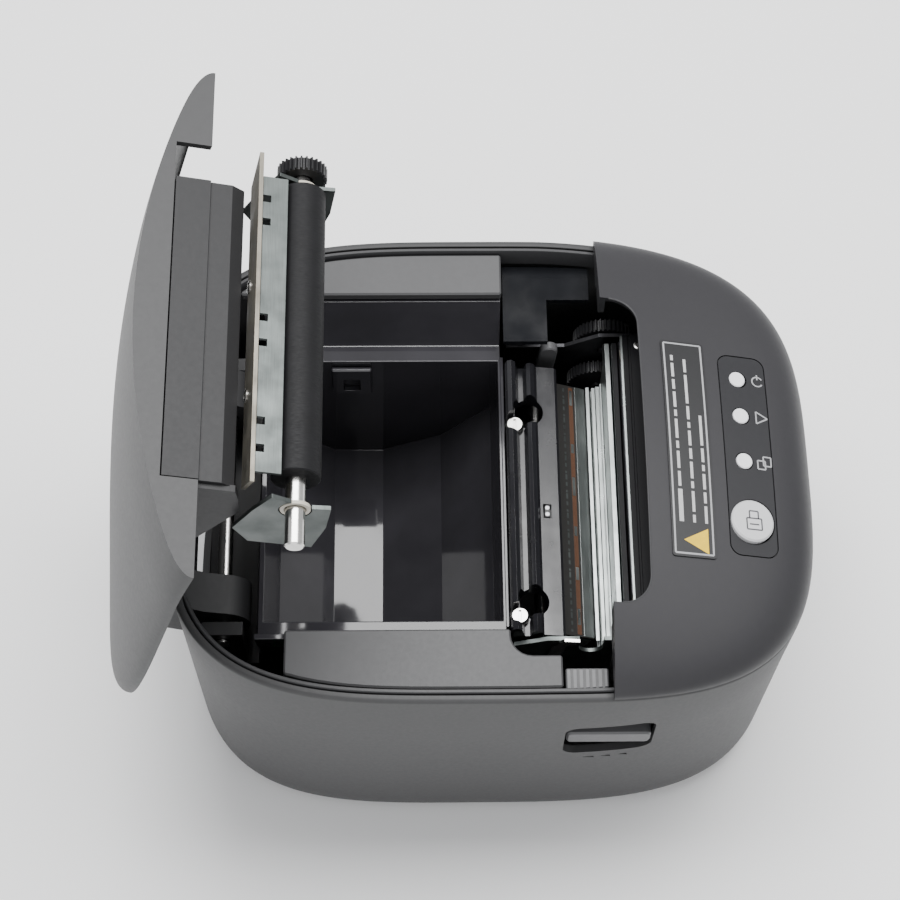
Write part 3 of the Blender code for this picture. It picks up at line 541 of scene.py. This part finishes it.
HOUSING = moulded("housing_texture", (0.044, 0.044, 0.045), 0.52)
COVER_BLACK = moulded("cover_texture", (0.024, 0.0235, 0.026), 0.48, grain=0.3)
LINER = moulded("liner_texture", (0.0145, 0.0145, 0.0155), 0.55, grain=0.3)
LEDGE = moulded("ledge_texture", (0.064, 0.064, 0.066), 0.50)
GREY = moulded("lever_texture", (0.098, 0.098, 0.102), 0.40, grain=0.25)
RIM_GREY = moulded("rim_texture", (0.035, 0.035, 0.037), 0.45)
GLOSS_BLACK = polished("bucket_gloss", (0.027, 0.0262, 0.030), 0.05)
DECK_BLACK = polished("deck_gloss", (0.005, 0.0055, 0.007), 0.14, gloss=0.25)
FRAME_BLACK = polished("frame_gloss", (0.012, 0.012, 0.014), 0.20, flow=5.0)
SATIN_BLACK = moulded("satin_black", (0.012, 0.012, 0.013), 0.38, grain=0.2, depth=0.01)
LIP_BLACK = moulded("lip_black", (0.005, 0.005, 0.006), 0.45, grain=0.2, depth=0.01,
                    gloss=0.15)
PANEL = moulded("panel_texture", (0.016, 0.016, 0.018), 0.42, grain=0.2, depth=0.01)
BUTTON = moulded("button_texture", (0.52, 0.52, 0.53), 0.40, grain=0.2, depth=0.008,
                 mottle=0.02)
LIGHT = milky("light_milk", (0.80, 0.80, 0.82))
LABEL = printed("label_film", (0.011, 0.011, 0.012), 0.42)
PRINT_WHITE = printed("print_white", (0.42, 0.42, 0.42))
PRINT_GREY = printed("print_grey", (0.30, 0.30, 0.31))
PRINT_DARK = printed("print_dark", (0.06, 0.06, 0.065))
PRINT_YELLOW = printed("print_yellow", (0.72, 0.47, 0.0))
STEEL = sheet_metal("zinc_sheet", (0.105, 0.116, 0.113), 0.48)
PLATE_STEEL = sheet_metal("plate_sheet", (0.29, 0.31, 0.305), 0.34)
DARK_STEEL = sheet_metal("blackened_sheet", (0.07, 0.07, 0.075), 0.38)
BLADE = sheet_metal("ground_blade", (0.185, 0.172, 0.145), 0.52, fleck=0.14)
BRIGHT = sheet_metal("turned_steel", (0.66, 0.65, 0.63), 0.20, along=(1.0, 0.1, 0.1),
                     fleck=0.05)
ALUMINIUM = sheet_metal("extruded_aluminium", (0.50, 0.50, 0.52), 0.38)
RESIN = printed("head_resin", (0.022, 0.021, 0.020), 0.30)
HEATER = printed("heater_glaze", (0.085, 0.042, 0.026), 0.22)
RUBBER = ground_rubber("platen_rubber_ground", (0.0050, 0.0050, 0.0058))
GEAR = moulded("gear_black", (0.012, 0.012, 0.013), 0.34, grain=0.5, depth=0.01)
BUSH = moulded("bush_natural", (0.45, 0.42, 0.36), 0.45, grain=0.3, depth=0.01)
BOARD = circuit("solder_mask", (0.010, 0.070, 0.028))
FOOT = moulded("foot_matte", (0.018, 0.018, 0.018), 0.85, grain=0.3, depth=0.03)
GOLD = sheet_metal("contact_gold", (0.80, 0.62, 0.25), 0.25)
FLOOR = moulded("floor_paper", (0.97, 0.97, 0.97), 0.80, grain=1.2, depth=0.01, mottle=0.003)

# Finish and edge rounding, in millimetres, of each CAD node that stays as it is
CARRIED = (
    (LEDGE, 0.25, ("ledge_left", "ledge_right")),
    (GREY, 0.25, ("open_lever", "latch_lever", "guide_block")),
    (HOUSING, 0.2, ("bottom_plate",)),
    (FOOT, 0.3, ("foot_front_left", "foot_front_right", "foot_back_left", "foot_back_right")),
    (LINER, 0.35, ("lever_scoop", "cover_liner")),
    (GLOSS_BLACK, 0.3, ("roll_bucket", "near_end_sensor")),
    (DECK_BLACK, 0.2, ("gear_deck",)),
    (FRAME_BLACK, 0.25, ("guide_frame",)),
    (SATIN_BLACK, 0.25, ("hinge_tray", "rear_panel", "power_switch", "power_jack", "drawer_port",
                         "usb_port", "paper_sensor")),
    (BUTTON, 0.2, ("feed_button",)),
    (LIGHT, 0.2, ("power_light", "error_light", "paper_light")),
    (STEEL, 0.12, ("platen_bracket_left", "platen_bracket_right", "blade_bracket", "side_frame_left",
                   "feed_motor")),
    (DARK_STEEL, 0.12, ("side_frame_right", "cutter_frame")),
    (PLATE_STEEL, 0.12, ("front_plate", "paper_guide", "cutter_cover")),
    (BLADE, 0.08, ("fixed_blade", "moving_blade")),
    (BRIGHT, 0.1, ("hinge_pin", "platen_shaft", "frame_screw_left", "frame_screw_right", "latch_rod")),
    (ALUMINIUM, 0.15, ("heat_sink",)),
    (RESIN, 0.08, ("print_head",)),
    (GEAR, 0.08, ("platen_gear", "feed_idler", "feed_pinion", "reset_gear")),
    (BUSH, 0.1, ("platen_bush_left", "platen_bush_right")),
    (BOARD, 0.1, ("main_board",)),
)


def dress(node, finish, width):
    """A CAD node keeps its mesh and gets its finish, welded corners and rounded edges."""
    obj = NODES[node]
    if "custom_normal" in obj.data.attributes:
        obj.data.attributes.remove(obj.data.attributes["custom_normal"])
    for slot in obj.material_slots:
        slot.material = finish
    weld = obj.modifiers.new("Weld", "WELD")
    weld.merge_threshold = 0.00001
    soften(obj, width, angle=FACETED.get(node, USUAL_EDGE))


# ---------------------------------------------------------------- casing

def lower_housing():
    heights = (BASE_Z, 3.2, 4.0, 5.2, 6.8, 8.8, 11.2, FOOT_ROUND, 40.0, 70.0)
    outer = [(lean(z), z, False) for z in heights]
    rim = [(0.0, -1.3, True), (0.12, -0.75, True), (0.35, -0.4, True), (0.7, -0.12, True),
           (1.2, 0.0, True), (WALL - 0.15, 0.0, True), (WALL, -0.15, True)]
    inner = [(WALL + lean(z), z, False) for z in (70.0, FOOT_ROUND, 8.0, 4.5, BASE_Z)]
    housing = ring_sweep("housing_skin", outer + rim + inner)
    tools = [
        prism("window_tool", "X", rounded_rect(WINDOW_Y, WINDOW_Z, 4.0), -80.0, -62.0),
        prism("socket_tool", "Y", rounded_rect((-40.0, 40.0), (9.0, 38.0), 3.0), 70.0, 95.0),
    ]
    for side in (-1, 1):
        x = sorted((side * 26.3, side * 39.7))
        tools.append(box("arm_slot_tool", x, (74.0, 95.0), (66.0, 112.0)))
    carve(housing, *tools)
    settle(housing, "base", HOUSING, ("lower_housing",), smooth=SHELL_EDGE)


def seam_shade_band():
    """Painted shade: a near-black band filling the gap between the front cover and the casing below it,
    standing in for the shade inside the seam.
    """
    low, high = 0.02, SEAM - 0.02
    profile = [(0.12, low, True), (0.12, high, True), (1.6, high, True), (1.6, low, True)]
    shade_ring = ring_sweep("seam_shade_ring", profile)
    carve(shade_ring, box("band_cut_tool", (-80.0, 80.0), (SPLIT_Y, 95.0), (80.0, 112.0)))
    # LIP_BLACK on this band is painted shade for the dark gap of the seam
    settle(shade_ring, "base", LIP_BLACK, smooth=SHELL_EDGE)


def inner_rim():
    profile = [(2.6, -7.0, True), (2.6, -0.45, True), (2.7, -0.2, True), (3.0, 0.1, True),
               (3.7, 0.1, True), (3.85, -0.1, True), (3.9, -7.0, True)]
    rim = ring_sweep("rim_lip", profile)
    carve(rim, box("rim_gap_tool", (-40.0, 40.0), (72.0, 95.0), (80.0, 112.0)))
    settle(rim, "base", RIM_GREY, ("inner_rim",), smooth=SHELL_EDGE)


def panel_disc_tool(name, x, y, radius, stand=0.0):
    """A post square to the sloping panel, for holes and rings in it."""
    tilt = math.atan(FRONT_SLOPE)
    normal = Vector((0.0, -math.sin(tilt), math.cos(tilt)))
    across = Vector((0.0, math.cos(tilt), math.sin(tilt)))
    middle = Vector((x, y, dome_z(x, y) + stand))
    bm = bmesh.new()
    rings = []
    for along in (-7.0, 5.0):
        ring = []
        for px, py in arc((0.0, 0.0), radius, 48):
            ring.append(bm.verts.new(middle + Vector((px, 0.0, 0.0)) + across * py + normal * along))
        rings.append(ring)
    bridge(bm, rings)
    bm.faces.new(rings[0])
    bm.faces.new(rings[1])
    return drawn(name, bm)


def panel_holes():
    return [(x, LIGHT_Y, LIGHT_R) for x in LIGHT_X] + [(BUTTON_X, BUTTON_Y, BUTTON_R)]


def panel_tools():
    return [panel_disc_tool("hole_tool", x, y, radius + CLEAR) for x, y, radius in panel_holes()]


def front_cover():
    cover = dome_shell("cover_front_skin", SPLIT_Y, -FRONT_REACH, COVER_WALL, rows=40, columns=81)
    mouth = rounded_rect(MOUTH_X, MOUTH_Y, MOUTH_ROUND, MOUTH_STEPS)
    below = [(-51.0, 89.4), (55.6, 89.4), (55.6, 106.0), (-51.0, 106.0)]
    pocket = rounded_rect(PANEL_X, PANEL_Y, 3.4, 8)
    carve(cover, prism("mouth_tool", "Z", mouth, 104.0, 140.0),
          prism("mouth_low_tool", "Y", below, -44.4, -30.0),
          laid_plate("pocket_tool", pocket, -1.1, 3.0), *panel_tools())
    settle(cover, "base", COVER_BLACK, ("front_cover",), smooth=SHELL_EDGE)
    inset = 0.35
    outline = rounded_rect((PANEL_X[0] + inset, PANEL_X[1] - inset),
                           (PANEL_Y[0] + inset, PANEL_Y[1] - inset), 3.05, 8)
    panel = laid_plate("panel_skin", outline, -0.8, -0.05)
    carve(panel, *panel_tools())
    settle(panel, "base", PANEL, ("control_panel",))


def cover_shell():
    shell = dome_shell("cover_roof", SPLIT_Y + 0.6, BACK_REACH, COVER_WALL)
    carve(shell, box("bay_tool", (-46.3, 48.8), (-45.0, -34.0), (95.0, 111.9)))
    settle(shell, "cover", HOUSING, ("cover_shell",), smooth=SHELL_EDGE)


# ---------------------------------------------------------------- printed marks

SYMBOL_STROKE = 0.42
INK_HALF = 0.03


def printed_piece(name, outlines, stand, finish):
    """Ink on the front cover: a thin layer under each outline."""
    parts = [laid_plate("ink", line, stand - INK_HALF, stand + INK_HALF) for line in outlines]
    piece = joined(name, parts)
    return settle(piece, "base", finish)


def band(x, y, width):
    """A straight stroke between two places."""
    start = Vector((x[0], y[0]))
    end = Vector((x[1], y[1]))
    along = (end - start).normalized()
    side = Vector((-along.y, along.x)) * 0.5 * width
    return [tuple(start - side), tuple(end - side), tuple(end + side), tuple(start + side)]


def hoop(centre, radius, width, start, sweep, steps=24):
    """A round stroke, left open so that it stays one simple outline."""
    outer = arc(centre, radius, steps, start, sweep)
    inner = arc(centre, radius - width, steps, start, sweep)
    return outer + list(reversed(inner))


def panel_marks():
    """Generic symbols: power ring, alert outline and paper sheet; the printer on the button is drawn by
    button_mark.
    """
    row = -82.5
    x = LIGHT_X[0]
    power = [hoop((x, row), 1.75, SYMBOL_STROKE, -60.0, 300.0),
             band((x + 0.6, x + 2.3), (row, row), SYMBOL_STROKE)]
    x = LIGHT_X[1]
    alert = [band((x - 1.9, x), (row + 1.3, row - 2.0), SYMBOL_STROKE),
             band((x, x + 1.9), (row - 2.0, row + 1.3), SYMBOL_STROKE),
             band((x - 1.9, x + 1.9), (row + 1.3, row + 1.3), SYMBOL_STROKE)]
    x = LIGHT_X[2]
    paper = []
    for low, high, drop in ((-2.0, 0.6, 0.9), (-0.9, 1.9, -0.8)):
        left, right = x + low, x + high
        near, far = row + drop - 1.2, row + drop + 1.0
        sides = (((left, right), (near, near)), ((left, right), (far, far)),
                 ((left, left), (near, far)), ((right, right), (near, far)))
        paper += [band(*side, SYMBOL_STROKE) for side in sides]
    printed_piece("panel_symbols", power + alert + paper, 0.0, PRINT_GREY)


def button_mark():
    """Printer outline on the feed button's flat top."""
    tilt = math.atan(FRONT_SLOPE)
    centre = Vector((BUTTON_X, BUTTON_Y, dome_z(BUTTON_X, BUTTON_Y)))
    normal = Vector((0.0, -math.sin(tilt), math.cos(tilt)))
    across = Vector((0.0, math.cos(tilt), math.sin(tilt)))
    top = max((Vector(v.co) for v in NODES["feed_button"].data.vertices), key=lambda p: p.z)
    stand = (top - (ORIGIN + centre * MM)).dot(normal) / MM
    strokes = (((-2.8, -2.8), (-2.2, 2.2)), ((0.6, 0.6), (-2.2, 2.2)),
               ((-2.8, 0.6), (-2.2, -2.2)), ((-2.8, 0.6), (2.2, 2.2)),
               ((0.6, 2.8), (-1.3, -1.3)), ((0.6, 2.8), (1.3, 1.3)),
               ((2.8, 2.8), (-1.3, 1.3)), ((-1.2, -1.2), (-1.4, 1.4)))
    shapes = [band(*places, SYMBOL_STROKE) for places in strokes]
    bm = bmesh.new()
    for outline in shapes:
        rings = []
        for height in (stand - 0.02, stand + 0.03):
            ring = []
            for px, py in outline:
                spot = centre + Vector((px, 0.0, 0.0)) + across * py + normal * height
                ring.append(bm.verts.new(spot))
            rings.append(ring)
        bridge(bm, rings)
        bm.faces.new(rings[0])
        bm.faces.new(rings[1])
    settle(drawn("button_symbol", bm), "feed_key", PRINT_DARK)


def info_label():
    outline = rounded_rect(LABEL_X, LABEL_Y, 0.8, 5)
    label = laid_plate("label_film_sheet", outline, 0.3, 0.5)
    settle(label, "base", LABEL, ("info_label",))
    x = (LABEL_X[0] + 0.9, LABEL_X[1] - 0.9)
    y = (LABEL_Y[0] + 0.8, LABEL_Y[1] - 0.8)
    edge = 0.5
    frame_lines = [band(x, (y[0], y[0]), edge), band(x, (y[1], y[1]), edge),
                   band((x[0], x[0]), y, edge), band((x[1], x[1]), y, edge)]
    stand = 0.53
    printed_piece("label_border", frame_lines, stand, PRINT_GREY)
    words = []
    lengths = (9.4, 4.4, 5.2, 2.2, 6.0, 2.0, 5.0, 3.2, 4.6, 1.8, 4.2)
    rows = ((-57.6, 31.0, 0), (-61.2, 31.0, 3), (-64.6, 13.0, 6))
    for middle, end, first in rows:
        place = -24.6
        turn = first
        while place + lengths[turn % len(lengths)] < end:
            length = lengths[turn % len(lengths)]
            width = 1.25 if turn == 0 else 0.8
            words.append(band((place, place + length), (middle, middle), width))
            place += length + 0.9
            turn += 1
    printed_piece("label_rows", words, stand, PRINT_WHITE)
    tip = [(-33.3, -64.9), (-26.1, -64.9), (-29.7, -58.0)]
    printed_piece("label_triangle", [tip], stand, PRINT_YELLOW)


def release_mark():
    """Three raised dashes under the release window."""
    parts = []
    for y in (-44.0, -39.2, -34.4):
        x = -side_x(y) + lean(52.0)
        outline = rounded_rect((y - 1.6, y + 1.6), (51.6, 52.6), 0.45, 4)
        parts.append(prism("dash", "X", outline, x - 0.12, x + 0.3))
    settle(joined("release_dashes", parts), "base", SATIN_BLACK)


# ---------------------------------------------------------------- small hardware

def screw(name, axis, centre, radius, face, outward, body):
    """A domed cross-head screw; face is where its head sits and outward is +1 or -1."""
    height = 0.34 * radius
    profile = [(face - outward * 0.3, radius), (face + outward * height * 0.55, radius),
               (face + outward * height * 0.85, radius * 0.86), (face + outward * height, radius * 0.55)]
    head = turned(name, axis, centre, profile, 36)
    top = face + outward * height
    low, high = sorted((top - outward * height * 0.7, top + outward * 1.0))
    reach, half = radius * 0.55, radius * 0.13
    first = [(centre[0] - reach, centre[1] - half), (centre[0] + reach, centre[1] - half),
             (centre[0] + reach, centre[1] + half), (centre[0] - reach, centre[1] + half)]
    second = [(centre[0] - half, centre[1] - reach), (centre[0] + half, centre[1] - reach),
              (centre[0] + half, centre[1] + reach), (centre[0] - half, centre[1] + reach)]
    carve(head, *(prism("slot_tool", axis, outline, low, high) for outline in (first, second)))
    settle(head, body, BRIGHT)


def blade_screws():
    for side, x in (("left", -20.5), ("right", 10.5)):
        screw(f"blade_screw_{side}", "Z", (x, -34.0), 1.7, 91.1, 1, "cover")


def head_details():
    """The heated line with its bare spots, and the steel strip that holds the paper in front of it."""
    tilt = math.radians(24.0)
    along = Vector((math.cos(tilt), math.sin(tilt)))
    away = Vector((along.y, -along.x))
    touch = Vector(PLATEN) + away * (PLATEN_R + CLEAR)

    def strip(start, end, low, high):
        places = ((start, low), (end, low), (end, high), (start, high))
        return [tuple(touch + along * a + away * b) for a, b in places]

    line = prism("heating_line", "X", strip(-0.9, 0.5, -0.05, 0.1), -41.0, 39.0)
    settle(line, "base", HEATER)
    spots = []
    places = ((-38.0, 5.0), (-24.0, 4.0), (-10.0, 3.0), (3.0, 6.0), (17.0, 3.0), (33.0, 5.0))
    for start, length in places:
        spots.append(prism("spot", "X", strip(-0.7, 0.3, -0.07, 0.1), start, start + length))
    settle(joined("head_bare_spots", spots), "base", PLATE_STEEL)
    dots = []
    for i in range(38):
        x = -40.4 + 2.1 * i
        dots.append(prism("dot", "X", strip(1.9, 2.5, -0.05, 0.1), x, x + 0.7 + 0.5 * (i % 3)))
    settle(joined("head_solder_dots", dots), "base", STEEL)
    cover = prism("head_strip", "X", strip(-4.9, -1.5, -0.28, -0.06), -41.4, 39.4)
    settle(soften(cover, 0.08), "base", PLATE_STEEL)
    lips = []
    for low, high, top in ((-37.6, -36.5, 71.6), (-39.4, -38.3, 71.2), (-41.2, -40.6, 74.0)):
        lips.append(box("lip", (-42.6, 39.6), (low, high), (70.7, top)))
    settle(soften(joined("guide_edges", lips), 0.12), "base", PLATE_STEEL)


def socket_details():
    pin = turned("jack_pin", "Y", (-30.0, 18.0), [(66.0, 1.05), (75.4, 1.05), (76.2, 0.6)], 24)
    settle(pin, "base", BRIGHT)
    tongue = box("usb_tongue", (7.6, 12.8), (66.4, 75.6), (16.0, 19.0))
    settle(soften(tongue, 0.3), "base", BUTTON)
    contacts = []
    for i in range(6):
        x = -13.75 + 1.3 * i
        contacts.append(box("contact", (x, x + 0.5), (66.8, 74.0), (22.4, 23.1)))
    settle(joined("drawer_contacts", contacts), "base", GOLD)


def board_details():
    """Chips on the main board, inside the casing."""
    chips = []
    sizes = ((-24, 30, 12, 12, 1.4), (4, 22, 9, 6, 1.6), (22, 40, 7, 10, 2.2), (-6, 46, 5, 5, 1.0))
    for x, y, wide, deep, tall in sizes:
        chips.append(box("chip", (x, x + wide), (y, y + deep), (10.5, 10.6 + tall)))
    settle(joined("board_chips", chips), "base", SATIN_BLACK)


def mouth_details():
    """Dark stepped lips in the paper mouth, the wall behind the slot, and a screw at its right end."""
    wall = box("slot_wall", (-46.0, 44.2), (-44.7, -43.1), (84.0, 91.0))
    settle(soften(wall, 0.2), "base", LIP_BLACK)
    step = [(-46.0, 94.05), (-46.0, 94.5), (-47.6, 94.5), (-47.6, 94.2), (-48.3, 94.2),
            (-48.3, 94.95), (-60.0, 94.95), (-60.0, 94.05)]
    settle(soften(prism("mouth_lips", "X", step, -44.8, 44.8), 0.12), "base", LIP_BLACK)
    screw("mouth_screw", "Z", (41.0, -50.5), 1.3, 94.95, 1, "base")


def mouth_edge():
    """Rounded bead along the edge of the paper mouth in the front cover."""
    radius = 0.3
    outline = rounded_rect(MOUTH_X, MOUTH_Y, MOUTH_ROUND, MOUTH_STEPS)
    path = [p for p in outline if p[1] < SPLIT_Y - 0.6]
    path.sort(key=lambda p: (p[0] > 0.0, -p[1] if p[0] <= 0.0 else p[1]))
    left = [p for p in path if p[0] <= 0.0]
    right = [p for p in path if p[0] > 0.0]
    middle = [(left[-1][0] + (right[0][0] - left[-1][0]) * i / 40, left[-1][1]) for i in range(1, 40)]
    path = left + middle + right
    bm = bmesh.new()
    rings = []
    for i, (x, y) in enumerate(path):
        before = Vector(path[max(i - 1, 0)])
        after = Vector(path[min(i + 1, len(path) - 1)])
        along = (after - before).normalized()
        side = Vector((-along.y, along.x))
        ring = []
        for a, b in arc((0.0, 0.0), radius, 8):
            spot = Vector((x, y)) + side * a
            ring.append(bm.verts.new((spot.x, spot.y, dome_z(x, y) - 0.22 + b)))
        rings.append(ring)
    bridge(bm, rings)
    bm.faces.new(rings[0])
    bm.faces.new(rings[-1])
    settle(drawn("mouth_bead", bm), "base", RIM_GREY)


def guide_striations():
    """Thin ridges across the light block at the front end of the left ledge."""
    parts = []
    for i in range(6):
        y = -35.9 + 1.7 * i
        parts.append(box("ridge", (-67.4, -61.8), (y, y + 0.7), (99.5, 99.85)))
    ridges = joined("guide_ridges", parts)
    settle(ridges, "base", LEDGE)


def sensor_eyes():
    parts = []
    for x in (-8.0, -6.0):
        parts.append(turned("eye", "Z", (x, -23.0), [(83.2, 0.62), (83.42, 0.62), (83.5, 0.4)], 24))
    settle(joined("sensor_eyes", parts), "base", LIGHT)


def platen_rubber():
    """Rubber tube of the platen, with a small chamfer at each end."""
    profile = [(-42.0, 5.9), (-41.7, PLATEN_R), (39.7, PLATEN_R), (40.0, 5.9)]
    roller = turned("platen_rubber_tube", "X", PLATEN, profile, 96)
    settle(roller, "platen", RUBBER, ("platen_roller",))


def switch_marks():
    """The usual line for the on side, raised on the rocker."""
    low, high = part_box("power_switch")
    middle = (0.5 * (low.x + high.x) - ORIGIN.x) / MM
    parts = [prism("on_mark", "X", [(77.35, 23.6), (77.75, 27.4), (77.95, 27.3), (77.6, 23.5)],
                   middle - 0.35, middle + 0.35)]
    settle(joined("switch_line", parts), "rocker", PRINT_WHITE)


# ---------------------------------------------------------------- studio

WORLD_COLOUR = (0.97, 0.98, 1.0, 1.0)
WORLD_STRENGTH = 0.72
# Place, target and size in metres, power in watts
LAMPS = (
    ("overhead", (0.18, -0.01, 0.83), (0.18, -0.01, 0.0), (0.41, 0.8), 13.5),
    ("side_fill", (-0.95, 0.1, 0.45), (0.0, 0.0, 0.08), (0.9, 0.6), 2.6),
)
LENS = 88.8
SENSOR = 36.0
CAMERA_PLACE = (-275.6, 15.7, 665.4)
CAMERA_FORWARD = (0.4439, -0.0166, -0.8959)
CAMERA_UP = (0.896, -0.0047, 0.4441)


def area_light(name, place, target, size, power):
    lamp = bpy.data.lights.new(name, "AREA")
    lamp.shape = "RECTANGLE"
    lamp.size = size[0]
    lamp.size_y = size[1]
    lamp.energy = power
    made = bpy.data.objects.new(name, lamp)
    made.location = place
    direction = Vector(target) - Vector(place)
    made.rotation_euler = direction.to_track_quat("-Z", "Y").to_euler()
    bpy.context.scene.collection.objects.link(made)


def studio():
    bm = bmesh.new()
    bmesh.ops.create_grid(bm, x_segments=8, y_segments=8, size=4.0)
    mesh = bpy.data.meshes.new("floor")
    bm.to_mesh(mesh)
    bm.free()
    mesh.materials.append(FLOOR)
    floor = bpy.data.objects.new("floor", mesh)
    bpy.context.scene.collection.objects.link(floor)
    world = bpy.data.worlds.new("studio")
    bpy.context.scene.world = world
    world.use_nodes = True
    world.node_tree.nodes["Background"].inputs["Color"].default_value = WORLD_COLOUR
    world.node_tree.nodes["Background"].inputs["Strength"].default_value = WORLD_STRENGTH
    for lamp in LAMPS:
        area_light(*lamp)


def camera():
    data = bpy.data.cameras.new("camera")
    data.lens = LENS
    data.sensor_width = SENSOR
    data.clip_start = 0.01
    made = bpy.data.objects.new("camera", data)
    forward = Vector(CAMERA_FORWARD).normalized()
    up = Vector(CAMERA_UP)
    right = forward.cross(up).normalized()
    up = right.cross(forward)
    turn = Matrix((right, up, -forward)).transposed().to_4x4()
    made.matrix_world = Matrix.Translation(Vector(CAMERA_PLACE) * MM + ORIGIN) @ turn
    bpy.context.scene.collection.objects.link(made)
    bpy.context.scene.camera = made


def main():
    camera()
    studio()
    lower_housing()
    inner_rim()
    seam_shade_band()
    front_cover()
    cover_shell()
    info_label()
    panel_marks()
    button_mark()
    release_mark()
    blade_screws()
    head_details()
    socket_details()
    board_details()
    mouth_details()
    mouth_edge()
    guide_striations()
    sensor_eyes()
    switch_marks()
    platen_rubber()
    for finish, width, names in CARRIED:
        for name in names:
            dress(name, finish, width)


main()
